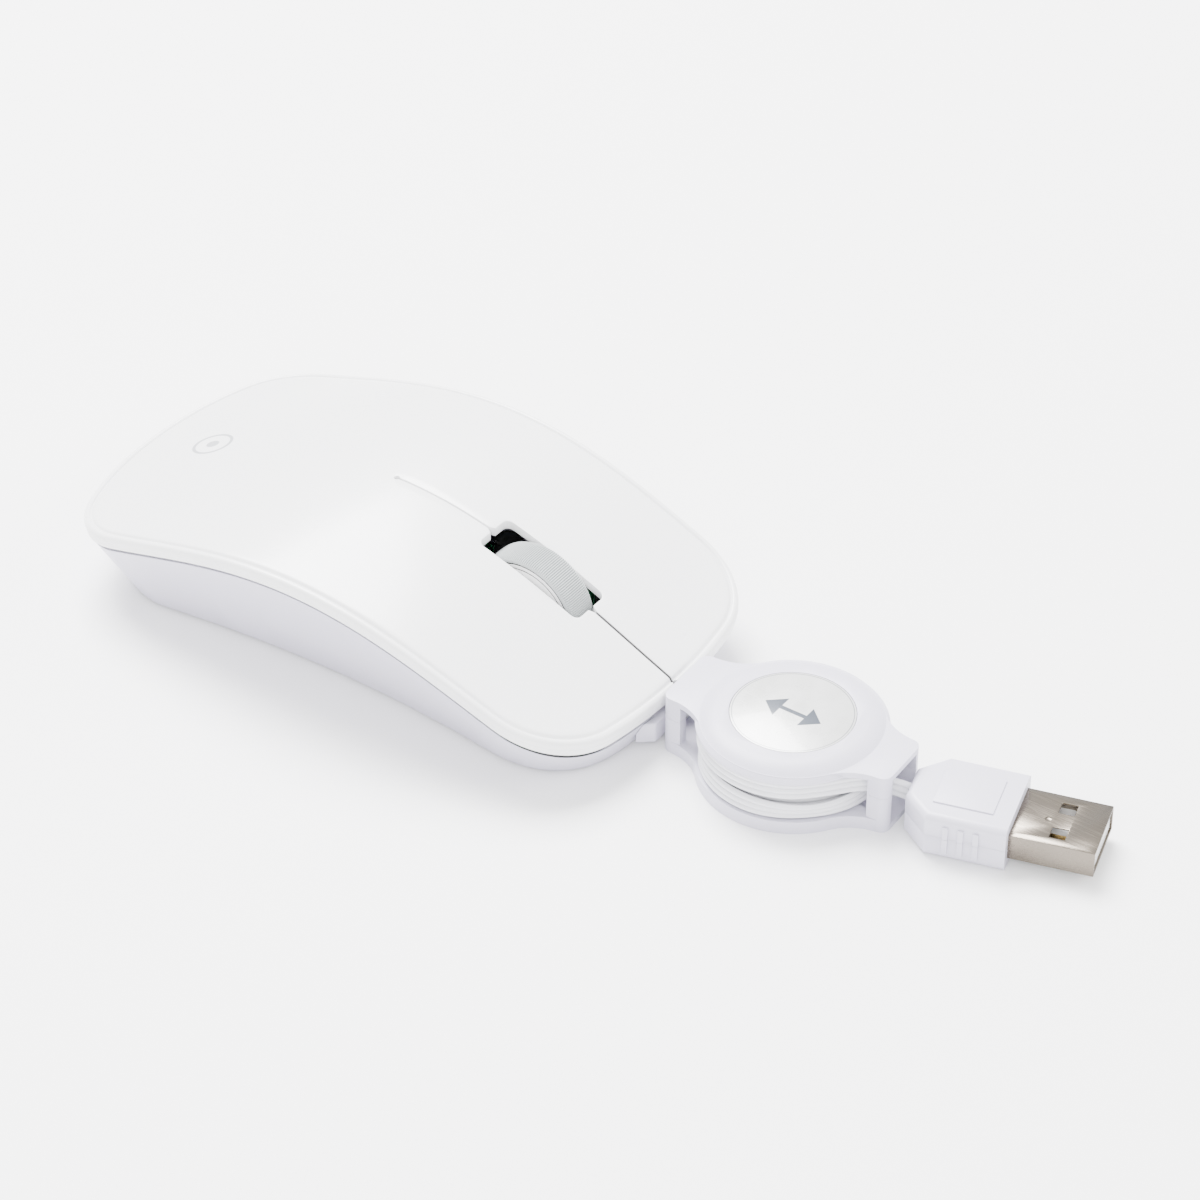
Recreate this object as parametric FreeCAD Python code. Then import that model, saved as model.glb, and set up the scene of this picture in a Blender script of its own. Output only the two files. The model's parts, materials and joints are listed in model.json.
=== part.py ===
import FreeCAD
import Part
import math
import os

os.makedirs("parts", exist_ok=True)

V = FreeCAD.Vector

# Computer mouse with a two-way retractable cable reel. Millimetres, +Z up, the front towards -Y.
# The origin is the middle of the mouse's own footprint, on the surface that it stands on.

# ---- Driving sizes of the mouse ----
mouse_length = 108.0
mouse_width = 60.0
widest_y = -3.0              # where the plan is widest
side_radius = 720.0          # the nearly straight sides of the cover's plan
front_radius = 109.0
rear_radius = 55.0
front_corner_radius = 15.0
rear_corner_radius = 13.4
seam_front = 6.1             # height of the cover's lower edge, at the front
seam_front_quarter = 15.7
seam_middle = 20.9
seam_rear_quarter = 16.3
seam_rear = 10.0
cover_edge = 2.4             # height of the cover's rim
crown = 2.6                  # how far the cover rises above its rim
cover_wall = 1.6

base_end_setback = 11.4       # how much shorter the base is than the cover
base_side_setback = 4.0
base_length = mouse_length - base_end_setback
base_width = mouse_width - base_side_setback
base_y = -2.75               # middle of the base, towards the front
base_side_radius = 440.0
base_front_radius = 91.0
base_rear_radius = 61.0
base_front_corner = 17.7
base_rear_corner = 12.8
waist_share = 0.26           # how much narrower the base is at its middle
shell_wall = 1.6
floor_thickness = 1.1
foot_thickness = 0.6
reveal = 0.5                 # the bottom shell's upper edge stands this far inside the cover's
palm_gap = 0.35              # shadow gap under the fixed part of the cover

# ---- Buttons ----
flex_line_y = 2.0            # the button tongues bend here
button_travel = 0.8          # at the front edge
slit_width = 0.6
tongue_gap = 0.35

# ---- Scroll wheel ----
wheel_radius = 10.0
wheel_setback = 18.0 + wheel_radius   # from the front edge to the axle
wheel_y = wheel_setback - mouse_length / 2
tyre_width = 5.8
tyre_depth = 1.6
tyre_ribs = 60
hub_width = 6.4
axle_radius = 1.0
running_fit = 0.05
slot_half_width = 3.9
slot_rear_room = 1.8 * wheel_radius - 10.0
slot_front_room = 1.1
slot_corner = 1.2
click_angle = 1.0            # degrees that the carriage tips
hole_circle = 5.6            # the light gate looks through holes on this circle

# ---- Circuit board and switches ----
board_height = 4.2           # underside of the board
board_thickness = 1.2
board_half_width = mouse_width / 2 - 13.6
switch_x = board_half_width - 3.2
switch_length = 12.8
switch_width = 5.8
switch_height = 4.6
plunger_radius = 1.0
contact_gap = 0.1

# ---- Cable and reel ----
cable_width = 3.3            # flat cable, standing on its edge
cable_thickness = 1.0
turn_pitch = cable_thickness + 0.16
reel_x = 1.0
reel_yaw = 2.3               # degrees
reel_radius = 15.2
ear_reach = reel_radius + 4.8
reel_y = -mouse_length / 2 - 0.75 - ear_reach
ear_half_mouse = 6.4         # the ear beside the mouse is the wider one
ear_half_plug = 5.5
ear_fillet = 9.0
ear_corner = 1.6
reel_wall = 1.0
winding_bottom = 2.45
winding_height = 2 * cable_width + 0.4
winding_radius = reel_radius - 0.4
reel_height = winding_bottom + winding_height + 2.45
drum_radius = 7.5
drum_gap = 0.3
post_bore_radius = 2.4
badge_radius = 9.9
badge_thickness = 0.45

# ---- Plug ----
plug_yaw = 15.9              # degrees
boot_width = 15.0
boot_length = 17.0
plug_x = 6.5                 # where the metal shell leaves the boot
plug_y = reel_y - ear_reach - 0.65 - boot_length
boot_height = 8.0
plug_width = 12.0
plug_height = 4.5
plug_reach = 13.5
plug_wall = 0.3
plug_buried = 6.0

# ---- Heights and places that follow ----
half_length = mouse_length / 2
half_width = mouse_width / 2
base_z = foot_thickness
floor_z = base_z + floor_thickness
board_top = board_height + board_thickness
wheel_z = floor_z + 0.7 + wheel_radius
wheel_front_y = wheel_y - wheel_radius
pivot_y = wheel_y + wheel_radius + 7.0
pivot_z = 8.5
optics_y = pivot_y + 13.0
board_rear_y = optics_y + 16.0
bar_y = wheel_front_y - 3.4
bar_bottom = 9.4
carriage_lever = pivot_y - bar_y
switch_y = wheel_front_y - 1.0
plunger_y = switch_y + 1.0
plunger_top = board_top + switch_height + 1.2
click_travel = carriage_lever * math.radians(click_angle)
button_angle = math.degrees(button_travel / (flex_line_y + half_length))
hinge_z = 22.0


def box(x0, x1, y0, y1, z0, z1):
    return Part.makeBox(x1 - x0, y1 - y0, z1 - z0, V(x0, y0, z0))


def post(x, y, z0, z1, r):
    return Part.makeCylinder(r, z1 - z0, V(x, y, z0), V(0, 0, 1))


def cross_rod(x0, x1, y, z, r):
    return Part.makeCylinder(r, x1 - x0, V(x0, y, z), V(1, 0, 0))


def through_points(stations, heights, y):
    """The smooth curve through the given heights, at y."""
    total = 0.0
    for i, height in enumerate(heights):
        share = 1.0
        for j, other in enumerate(stations):
            if j != i:
                share *= (y - other) / (stations[i] - other)
        total += height * share
    return total


def seam_height(y):
    stations = [-half_length, -half_length / 2, 0.0, half_length / 2, half_length]
    heights = [seam_front, seam_front_quarter, seam_middle, seam_rear_quarter, seam_rear]
    return through_points(stations, heights, y)


def top_height(x, y):
    rise = crown * (1 - (y / half_length) ** 4) * (1 - (x / half_width) ** 2)
    return seam_height(y) + cover_edge + rise


def plan_arcs(length, width, mid_y, wide_y, side_r, front_r, rear_r, front_c, rear_c):
    """The eight arcs of a rounded plan as (centre x, centre y, radius, first and last angle)."""
    side = V(width / 2 - side_r, wide_y, 0)
    ends = {}
    for sign, end_r, corner_r in ((-1, front_r, front_c), (1, rear_r, rear_c)):
        end = V(0, mid_y + sign * (length / 2 - end_r), 0)
        a = side_r - corner_r
        b = end_r - corner_r
        apart = end - side
        d = apart.Length
        along = (a * a - b * b + d * d) / (2 * d)
        off = math.sqrt(a * a - along * along)
        u = apart / d
        n = V(-u.y, u.x, 0)
        choices = [side + u * along + n * off, side + u * along - n * off]
        corner = max(choices, key=lambda p: p.x + sign * p.y)
        to_side = math.atan2(corner.y - side.y, corner.x - side.x)
        to_end = math.atan2(corner.y - end.y, corner.x - end.x)
        ends[sign] = (end, corner, to_side, to_end, end_r, corner_r)
    end, corner, front_side, front_end, end_r, corner_r = ends[-1]
    end2, corner2, rear_side, rear_end, end_r2, corner_r2 = ends[1]
    turn = math.pi
    return [
        (corner.x, corner.y, corner_r, front_end, front_side),
        (side.x, side.y, side_r, front_side, rear_side),
        (corner2.x, corner2.y, corner_r2, rear_side, rear_end),
        (end2.x, end2.y, end_r2, rear_end, turn - rear_end),
        (-corner2.x, corner2.y, corner_r2, turn - rear_end, turn - rear_side),
        (-side.x, side.y, side_r, turn - rear_side, turn - front_side),
        (-corner.x, corner.y, corner_r, turn - front_side, turn - front_end),
        (end.x, end.y, end_r, turn - front_end, 2 * turn + front_end),
    ]


def on_arc(arc, share, inset=0.0):
    cx, cy, r, a0, a1 = arc
    a = a0 + (a1 - a0) * share
    return V(cx + (r - inset) * math.cos(a), cy + (r - inset) * math.sin(a), 0)


cover_plan = plan_arcs(mouse_length, mouse_width, 0.0, widest_y, side_radius, front_radius,
                       rear_radius, front_corner_radius, rear_corner_radius)
base_plan = plan_arcs(base_length, base_width, base_y, base_y, base_side_radius,
                      base_front_radius, base_rear_radius, base_front_corner, base_rear_corner)


def plan_prism(arcs, inset, z0, z1):
    """A straight prism over the plan's arcs."""
    edges = []
    for arc in arcs:
        points = [on_arc(arc, s, inset) + V(0, 0, z0) for s in (0, 0.5, 1)]
        edges.append(Part.Arc(*points).toShape())
    return Part.Face(Part.Wire(edges)).extrude(V(0, 0, z1 - z0))


def smooth_ring(points):
    """A closed smooth curve whose parameter runs evenly from point to point."""
    curve = Part.BSplineCurve()
    marks = [float(i) for i in range(len(points) + 1)]
    curve.interpolate(Points=points, PeriodicFlag=True, Parameters=marks)
    return curve


def waisted(p):
    q = 2 * (p.y - base_y) / base_length
    return V(p.x * (1 - waist_share * max(0.0, 1 - q * q)), p.y, 0)


def inward(points, distance):
    """The ring of points moved inwards, square to the ring."""
    moved = []
    for i, p in enumerate(points):
        along = points[(i + 1) % len(points)] - points[i - 1]
        n = V(-along.y, along.x, 0)
        moved.append(p + n * (distance / n.Length))
    return moved


def shell_body(inset):
    """A tall body whose walls lean from the waisted base out to the cover's plan."""
    steps = (5, 9, 5, 8, 5, 9, 5, 8)
    low = []
    high = []
    for cover_arc, base_arc, n in zip(cover_plan, base_plan, steps):
        for k in range(n):
            low.append(waisted(on_arc(base_arc, k / n)))
            high.append(on_arc(cover_arc, k / n, reveal))
    low = inward(low, inset)
    high = inward(high, inset)
    top_z = seam_middle + 2
    bottom = []
    top = []
    for b, c in zip(low, high):
        stretch = (top_z - base_z) / (seam_height(c.y) - base_z)
        bottom.append(b + V(0, 0, base_z))
        top.append(b + (c - b) * stretch + V(0, 0, top_z))
    lower = smooth_ring(bottom).toShape()
    upper = smooth_ring(top).toShape()
    wall = Part.makeRuledSurface(lower, upper)
    faces = [Part.Face(Part.Wire([lower])), wall, Part.Face(Part.Wire([upper]))]
    shell = Part.makeShell(faces)
    shell.sewShape()
    solid = Part.makeSolid(shell)
    if solid.Volume < 0:
        solid.reverse()
    return solid


def over_curve(height_at, z_top):
    """Everything above a height that depends only on y."""
    reach_y = half_length + 14
    count = 14
    points = []
    for i in range(count + 1):
        y = -reach_y + 2 * reach_y * i / count
        points.append(V(-half_width - 6, y, height_at(y)))
    curve = Part.BSplineCurve()
    curve.interpolate(points)
    corner_a = V(points[-1].x, points[-1].y, z_top)
    corner_b = V(points[0].x, points[0].y, z_top)
    edges = [curve.toShape(), Part.makeLine(points[-1], corner_a),
             Part.makeLine(corner_a, corner_b), Part.makeLine(corner_b, points[0])]
    return Part.Face(Part.Wire(edges)).extrude(V(mouse_width + 12, 0, 0))


def under_top(drop):
    """Everything under the cover's outer surface, lowered by drop."""
    rows = []
    reach_x = half_width + 3
    reach_y = half_length + 3
    for i in range(7):
        x = -reach_x + 2 * reach_x * i / 6
        row = []
        for j in range(13):
            y = -reach_y + 2 * reach_y * j / 12
            row.append(V(x, y, top_height(x, y) - drop))
        rows.append(row)
    surface = Part.BSplineSurface()
    surface.interpolate(rows)
    return surface.toShape().extrude(V(0, 0, -40))


def shell_gap(y):
    """The shadow gap under the cover, wider in front where the buttons come down."""
    ahead = max(0.0, flex_line_y - y) / (flex_line_y + half_length)
    return palm_gap + button_travel * ahead


def cover_blank():
    solid = plan_prism(cover_plan, 0.0, 0.0, 40.0).common(under_top(0.0))
    solid = solid.common(over_curve(seam_height, 60.0))
    hollow = plan_prism(cover_plan, cover_wall, 0.0, 40.0).common(under_top(cover_wall))
    return solid.cut(hollow)


def wheel_slot(grow):
    y0 = wheel_front_y - slot_front_room - grow
    y1 = wheel_y + slot_rear_room + grow
    half = slot_half_width + grow
    block = box(-half, half, y0, y1, 0, 40)
    upright = [e for e in block.Edges if abs(e.Vertexes[0].X - e.Vertexes[-1].X) < 0.01
               and abs(e.Vertexes[0].Y - e.Vertexes[-1].Y) < 0.01]
    return block.makeFillet(slot_corner, upright)


screw_places = [(-11.0, half_length * 0.56), (11.0, half_length * 0.56)]
boss_top = 7.0
screw_radius = 1.0


def palm_cover(blank):
    palm = blank.common(box(-40, 40, flex_line_y + tongue_gap / 2, 80, 0, 60))
    roof = under_top(cover_wall / 2)
    for x, y in screw_places:
        stem = post(x, y, boss_top, 40, 2.6).common(roof)
        palm = palm.fuse(stem)
        palm = palm.cut(post(x, y, boss_top - 1, boss_top + 7, screw_radius))
    return palm


def button(blank, side):
    half = blank.common(box(-40, 40, -80, flex_line_y - tongue_gap / 2, 0, 60))
    if side > 0:
        half = half.common(box(slit_width / 2, 40, -80, 80, 0, 60))
    else:
        half = half.common(box(-40, -slit_width / 2, -80, 80, 0, 60))
    half = half.cut(wheel_slot(0.0))
    roof = under_top(cover_wall / 2)
    nib = post(side * switch_x, plunger_y, plunger_top + contact_gap, 40, 1.5).common(roof)
    return half.fuse(nib)


outlet_half = 5.0
outlet_low = 1.25
outlet_high = outlet_low + cable_width + 0.4
outlet_face_y = -half_length - 0.2
pivot_post_x = 6.4
board_front_y = bar_y - 5.4
standoff_places = [(-13.5, board_rear_y - 4), (13.5, board_rear_y - 4),
                   (-13.5, wheel_y + 8), (13.5, wheel_y + 8)]


def bottom_shell():
    outer = shell_body(0.0)
    gap_tool = over_curve(lambda y: seam_height(y) - shell_gap(y), 60.0)
    shell = outer.cut(gap_tool)
    inner = shell_body(shell_wall).common(box(-60, 60, -90, 90, floor_z, 60))
    shell = shell.cut(inner)
    for x, y in screw_places:
        shell = shell.fuse(post(x, y, floor_z, boss_top, 3.1))
        shell = shell.cut(post(x, y, base_z - 1, 2.7, 2.1))
        shell = shell.cut(post(x, y, 2.6, boss_top + 1, screw_radius + 0.15))
    for x, y in standoff_places:
        shell = shell.fuse(post(x, y, floor_z, board_height, 1.9))
        shell = shell.fuse(post(x, y, floor_z, board_top + 0.6, 0.9))
    for side in (-1, 1):
        x0 = min(side * pivot_post_x, side * (pivot_post_x + 1.6))
        tower = box(x0, x0 + 1.6, pivot_y - 2, pivot_y + 2, floor_z, pivot_z + 2)
        bore = cross_rod(x0 - 1, x0 + 3, pivot_y, pivot_z, axle_radius)
        shell = shell.fuse(tower).cut(bore)
    window = box(-4, 4, optics_y - 6, optics_y + 6, base_z - 1, floor_z + 0.1)
    notch = box(-outlet_half - running_fit, outlet_half + running_fit, -90,
                -half_length + 9, outlet_low - running_fit, outlet_high + 6)
    return shell.cut(window).cut(notch)


def outlet():
    """The strain relief that carries the cable through the front wall."""
    neck = box(-outlet_half, outlet_half, outlet_face_y, -half_length + 6.2, outlet_low, outlet_high)
    points = [V(-6.6, outlet_face_y, outlet_low), V(6.6, outlet_face_y, outlet_low),
              V(8.6, -half_length + 2.3, outlet_low), V(-8.6, -half_length + 2.3, outlet_low)]
    hood = Part.Face(Part.makePolygon(points + [points[0]]))
    hood = hood.extrude(V(0, 0, outlet_high - outlet_low))
    hood = hood.cut(shell_body(-0.02))
    flange = box(-6.6, 6.6, -half_length + 5.6, -half_length + 6.8, floor_z + 0.1, outlet_high)
    flange = flange.common(shell_body(shell_wall + 0.02))
    solid = neck.fuse(hood).fuse(flange).removeSplitter()
    return solid


def hub():
    core = cross_rod(-tyre_width / 2, tyre_width / 2, wheel_y, wheel_z, wheel_radius - tyre_depth)
    caps = Part.makeCone(wheel_radius - tyre_depth - 0.2, wheel_radius - tyre_depth - 1.8,
                         (hub_width - tyre_width) / 2, V(tyre_width / 2, wheel_y, wheel_z),
                         V(1, 0, 0))
    far = Part.makeCone(wheel_radius - tyre_depth - 0.2, wheel_radius - tyre_depth - 1.8,
                        (hub_width - tyre_width) / 2, V(-tyre_width / 2, wheel_y, wheel_z),
                        V(-1, 0, 0))
    axle = cross_rod(-5.5, 5.5, wheel_y, wheel_z, axle_radius)
    solid = core.fuse(caps).fuse(far).fuse(axle)
    for k in range(12):
        a = math.radians(30 * k)
        y = wheel_y + hole_circle * math.cos(a)
        z = wheel_z + hole_circle * math.sin(a)
        solid = solid.cut(cross_rod(-5, 5, y, z, 0.8))
    return solid


def tyre():
    edges = []
    inner_r = wheel_radius - 0.25
    step = 2 * math.pi / tyre_ribs
    for k in range(tyre_ribs):
        corners = []
        for share, r in ((0.0, wheel_radius), (0.55, wheel_radius), (0.65, inner_r), (0.9, inner_r)):
            a = (k + share) * step
            corners.append(V(-tyre_width / 2, wheel_y + r * math.cos(a), wheel_z + r * math.sin(a)))
        edges += corners
    ring = Part.Face(Part.makePolygon(edges + [edges[0]])).extrude(V(tyre_width, 0, 0))
    return ring.cut(cross_rod(-5, 5, wheel_y, wheel_z, wheel_radius - tyre_depth))


def carriage():
    arm = [(pivot_y + 2, pivot_z - 1.5), (pivot_y + 2, pivot_z + 1.5), (wheel_y + 4, 11.0),
           (wheel_y + 2.5, wheel_z + 1.8), (wheel_y - 2.5, wheel_z + 1.8), (wheel_y - 4, 11.0),
           (bar_y - 1, 11.0), (bar_y - 1, bar_bottom), (wheel_y - 4, 8.6)]
    solid = box(-5.4, 5.4, bar_y - 1, bar_y + 1, bar_bottom, 11.0)
    for x0 in (-5.4, 4.2):
        points = [V(x0, y, z) for y, z in arm]
        side = Part.Face(Part.makePolygon(points + [points[0]])).extrude(V(1.2, 0, 0))
        solid = solid.fuse(side)
    solid = solid.fuse(cross_rod(-5.4, 5.4, pivot_y, pivot_z, 1.9))
    solid = solid.cut(cross_rod(-9, 9, pivot_y, pivot_z, axle_radius + running_fit))
    return solid.cut(cross_rod(-9, 9, wheel_y, wheel_z, axle_radius + running_fit))


def pivot_pin():
    reach = pivot_post_x + 1.6
    return cross_rod(-reach, reach, pivot_y, pivot_z, axle_radius)


def carriage_spring():
    """A compression spring between the floor and the carriage's left arm."""
    x, y = 4.85, wheel_y - 7.5
    low = floor_z + 0.3
    high = 8.2
    helix = Part.makeHelix((high - low) / 6, high - low, 1.2)
    ring = Part.Wire([Part.makeCircle(0.22, V(1.2, 0, 0), V(0, 1, 0))])
    coil = Part.Wire(helix.Edges).makePipeShell([ring], True, True)
    coil.translate(V(x, y, low))
    return coil


def board():
    plate = box(-board_half_width, board_half_width, board_front_y, board_rear_y,
                board_height, board_top)
    opening = box(-pivot_post_x - 1.9, pivot_post_x + 1.9, wheel_front_y - 1.2, pivot_y + 2.5, 0, 20)
    plate = plate.cut(opening)
    plate = plate.cut(box(-2.2, 2.2, optics_y - 2.5, optics_y + 2.5, 0, 20))
    for x, y in standoff_places:
        plate = plate.cut(post(x, y, 0, 20, 1.0))
    return plate


def switch_body(x, y, length, width, height, px, py):
    body = box(x - width / 2, x + width / 2, y - length / 2, y + length / 2,
               board_top, board_top + height)
    return body.cut(post(px, py, board_top + height - 1.8, board_top + height + 1,
                         plunger_radius + running_fit))


def switch_plunger(px, py, height, top):
    return post(px, py, board_top + height - 0.9, top, plunger_radius)


middle_height = 3.0
middle_y = bar_y - 1.6
middle_top = bar_bottom - contact_gap


def sensor():
    body = box(-5, 5, optics_y - 6, optics_y + 6, board_top + 0.4, board_top + 2.8)
    for k in range(4):
        y = optics_y - 4.5 + 3 * k
        for side in (-1, 1):
            x0 = min(side * 4.9, side * 5.9)
            leg = box(x0, x0 + 1.0, y - 0.4, y + 0.4, board_top, board_top + 1.2)
            body = body.fuse(leg)
    return body


def lens_plate():
    plate = box(-7, 7, optics_y - 9, optics_y + 11, floor_z, floor_z + 1.2)
    lens = Part.makeSphere(1.6, V(0, optics_y, floor_z + 1.0)).common(
        box(-3, 3, optics_y - 3, optics_y + 3, floor_z, board_height - 0.1))
    return plate.fuse(lens)


def lamp():
    body = post(0, optics_y + 9.5, board_top, board_top + 3.2, 1.5)
    dome = Part.makeSphere(1.5, V(0, optics_y + 9.5, board_top + 3.2))
    return body.fuse(dome).fuse(post(0, optics_y + 9.5, board_top, board_top + 0.8, 1.9))


def optical_post(side):
    """One half of the light gate that reads the wheel's holes."""
    x0 = min(side * 8.6, side * 11.0)
    y = wheel_y + hole_circle
    body = box(x0, x0 + 2.4, y - 1.5, y + 1.5, board_top, wheel_z + 1.4)
    bead = Part.makeSphere(0.8, V(side * 8.6, y, wheel_z))
    return body.fuse(bead)


header_x = -5.9


def header():
    body = box(header_x - 2.4, header_x + 2.4, board_front_y + 0.5, board_front_y + 3.3,
               board_top, board_top + 3.0)
    for k in range(4):
        x = header_x - 1.65 + 1.1 * k
        body = body.cut(box(x - 0.4, x + 0.4, board_front_y, board_front_y + 1.6,
                            board_top + 0.6, board_top + 1.9))
    return body


def inner_wires():
    wires = []
    for k in range(4):
        a = V(header_x + 0.4 + 0.8 * k, -half_length + 6.9, outlet_high - 0.4)
        b = V(header_x - 1.65 + 1.1 * k, board_front_y + 1.2, board_top + 1.35)
        wires.append(Part.makeCylinder(0.3, (b - a).Length, a, b - a))
    return Part.makeCompound(wires)


def case_screws():
    screws = []
    for x, y in screw_places:
        head = post(x, y, 1.2, 2.6, 1.95)
        shank = post(x, y, 2.5, boss_top + 6, screw_radius)
        slot_a = box(x - 1.2, x + 1.2, y - 0.3, y + 0.3, 1.0, 1.9)
        slot_b = box(x - 0.3, x + 0.3, y - 1.2, y + 1.2, 1.0, 1.9)
        screws.append(head.fuse(shank).cut(slot_a).cut(slot_b))
    return Part.makeCompound(screws)


def glide_foot(y, half, bow):
    """A low curved strip stuck under the base."""
    outer = Part.Arc(V(-half, y, 0), V(0, y + bow, 0), V(half, y, 0)).toShape()
    inner = Part.Arc(V(half, y - 4.5, 0), V(0, y - 4.5 + bow, 0), V(-half, y - 4.5, 0)).toShape()
    right = Part.makeLine(V(half, y, 0), V(half, y - 4.5, 0))
    left = Part.makeLine(V(-half, y - 4.5, 0), V(-half, y, 0))
    strip = Part.Face(Part.Wire([outer, right, inner, left])).extrude(V(0, 0, foot_thickness))
    upright = [e for e in strip.Edges if abs(e.Vertexes[0].Z - e.Vertexes[-1].Z) > 0.1]
    return strip.makeFillet(1.4, upright)


def base_label():
    return box(-13, 13, 14, 24, base_z - 0.2, base_z)


# ---- The reel, drawn about its own middle and then turned and moved to its place ----


def to_reel(shape):
    moved = shape.copy()
    moved.rotate(V(0, 0, 0), V(0, 0, 1), reel_yaw)
    moved.translate(V(reel_x, reel_y, 0))
    return moved


def reel_plan(radius, fillet):
    """A disc whose two ears run out of it in hollow curves."""
    edges = []
    touches = {}
    for sy, half in ((1, ear_half_mouse), (-1, ear_half_plug)):
        fx = half + fillet
        fy = math.sqrt((radius + fillet) ** 2 - fx * fx)
        share = radius / (radius + fillet)
        touch = V(fx * share, fy * share, 0)
        touches[sy] = touch
        middle = math.atan2(touch.y - fy, touch.x - fx) / 2 - math.pi / 2
        mid = V(fx + fillet * math.cos(middle), fy + fillet * math.sin(middle), 0)
        for sx in (1, -1):
            a = V(sx * half, sy * ear_reach, 0)
            b = V(sx * half, sy * fy, 0)
            c = V(sx * touch.x, sy * touch.y, 0)
            edges.append(Part.makeLine(a, b))
            edges.append(Part.Arc(b, V(sx * mid.x, sy * mid.y, 0), c).toShape())
        edges.append(Part.makeLine(V(-half, sy * ear_reach, 0), V(half, sy * ear_reach, 0)))
    for sx in (1, -1):
        a = V(sx * touches[1].x, touches[1].y, 0)
        b = V(sx * touches[-1].x, -touches[-1].y, 0)
        edges.append(Part.Arc(a, V(sx * radius, 0, 0), b).toShape())
    return Part.Face(Part.Wire(Part.__sortEdges__(edges)))


ear_post = 1.8
post_length = 3.4
parting = 6.6
rim_low = winding_bottom + winding_height + 0.25
roof_low = reel_height - 1.3
spool_top = roof_low - drum_gap
spool_low = reel_wall + drum_gap


def ear_posts(z0, z1):
    """The four corner posts that join the two shells."""
    posts = []
    for sx in (-1, 1):
        for sy, half in ((1, ear_half_mouse), (-1, ear_half_plug)):
            x0 = min(sx * half, sx * (half - ear_post))
            y0 = min(sy * ear_reach, sy * (ear_reach - post_length))
            posts.append(box(x0, x0 + ear_post, y0, y0 + post_length, z0, z1))
    return posts


def round_ears(solid):
    """Rounds the upright corners at the ends of the ears."""
    for sx in (-1, 1):
        for sy, half in ((1, ear_half_mouse), (-1, ear_half_plug)):
            mx = sx * (half - ear_corner)
            my = sy * (ear_reach - ear_corner)
            x0 = min(mx, mx + sx * 3)
            y0 = min(my, my + sy * 3)
            block = box(x0, x0 + 3, y0, y0 + 3, -1, 20)
            solid = solid.cut(block.cut(post(mx, my, -1, 20, ear_corner)))
    return solid


def reel_bottom():
    solid = reel_plan(reel_radius, ear_fillet).extrude(V(0, 0, winding_bottom - 0.15))
    solid = solid.cut(post(0, 0, reel_wall, 20, reel_radius - 1.0))
    for sy, half in ((1, ear_half_mouse), (-1, ear_half_plug)):
        inside = half - ear_post
        y0 = min(sy * (ear_reach + 1), sy * drum_radius)
        channel = box(-inside, inside, y0, y0 + ear_reach + 1 - drum_radius, reel_wall, 20)
        solid = solid.cut(channel)
    for part in ear_posts(1.0, parting):
        solid = solid.fuse(part)
    solid = solid.fuse(post(0, 0, 0.5, roof_low, post_bore_radius))
    return round_ears(solid.removeSplitter())


def reel_top():
    ears = reel_plan(reel_radius - 0.6, ear_fillet).extrude(V(0, 0, reel_height - 1.2 - rim_low))
    ears.translate(V(0, 0, rim_low))
    r = reel_radius
    section = [V(0, 0, rim_low), V(r, 0, rim_low), V(r, 0, rim_low + 0.3), V(r - 3.4, 0, reel_height),
               V(0, 0, reel_height)]
    dome = Part.Face(Part.Wire([
        Part.makeLine(section[0], section[1]),
        Part.makeLine(section[1], section[2]),
        Part.Arc(section[2], V(r - 1.4, 0, reel_height - 0.7), section[3]).toShape(),
        Part.makeLine(section[3], section[4]),
        Part.makeLine(section[4], section[0])])).revolve(V(0, 0, 0), V(0, 0, 1), 360)
    solid = ears.fuse(dome)
    solid = solid.cut(post(0, 0, rim_low - 1, roof_low, reel_radius - 2.6))
    for part in ear_posts(parting + 0.05, rim_low + 0.5):
        solid = solid.fuse(part)
    solid = solid.cut(post(0, 0, reel_height - badge_thickness, 20, badge_radius + 0.1))
    solid = solid.cut(Part.makeSphere(1.0, V(0, ball_track, ball_z)))
    return round_ears(solid.removeSplitter())


ball_track = 5.2
ball_z = spool_top + 0.05


def spool():
    """The drum and its lower flange, hollow below for the spring."""
    drum = post(0, 0, spool_low, spool_top, drum_radius)
    flange = post(0, 0, spool_low, spool_low + 0.8, winding_radius - 1.2)
    solid = drum.fuse(flange)
    solid = solid.cut(post(0, 0, spool_low - 1, spool_top - 2.4, drum_radius - 0.9))
    solid = solid.cut(post(0, 0, 0, 20, post_bore_radius + running_fit))
    track = post(0, 0, spool_top - 1.2, 20, ball_track + 1.2).cut(
        post(0, 0, 0, 30, ball_track - 1.2))
    return solid.cut(track)


def spiral_spring():
    """A flat spring wound between the drum's wall and its middle."""
    low = spool_low + 0.3
    high = spool_top - 2.7
    r = drum_radius - 1.3
    step = 0.4
    thick = 0.2
    outer = []
    inner = []
    side = 1
    shift = 0.0
    while r > post_bore_radius + 0.9:
        a = V(shift + side * r, 0, low)
        m = V(shift, side * r, low)
        b = V(shift - side * r, 0, low)
        outer.append(Part.Arc(a, m, b).toShape())
        r2 = r - thick
        inner.append(Part.Arc(V(shift + side * r2, 0, low), V(shift, side * r2, low),
                              V(shift - side * r2, 0, low)).toShape())
        shift -= side * step / 2
        r -= step / 2
        side = -side
    first = Part.makeLine(outer[0].Vertexes[0].Point, inner[0].Vertexes[0].Point)
    last = Part.makeLine(outer[-1].Vertexes[-1].Point, inner[-1].Vertexes[-1].Point)
    ring = Part.Wire(Part.__sortEdges__(outer + inner + [first, last]))
    return Part.Face(ring).extrude(V(0, 0, high - low))


def winding():
    """The wound cable's outer shape, a little wider below."""
    outer = Part.makeCone(winding_radius, winding_radius - 0.6, winding_height,
                          V(0, 0, winding_bottom))
    return outer.cut(post(0, 0, 0, 20, drum_radius + 0.25))


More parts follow.
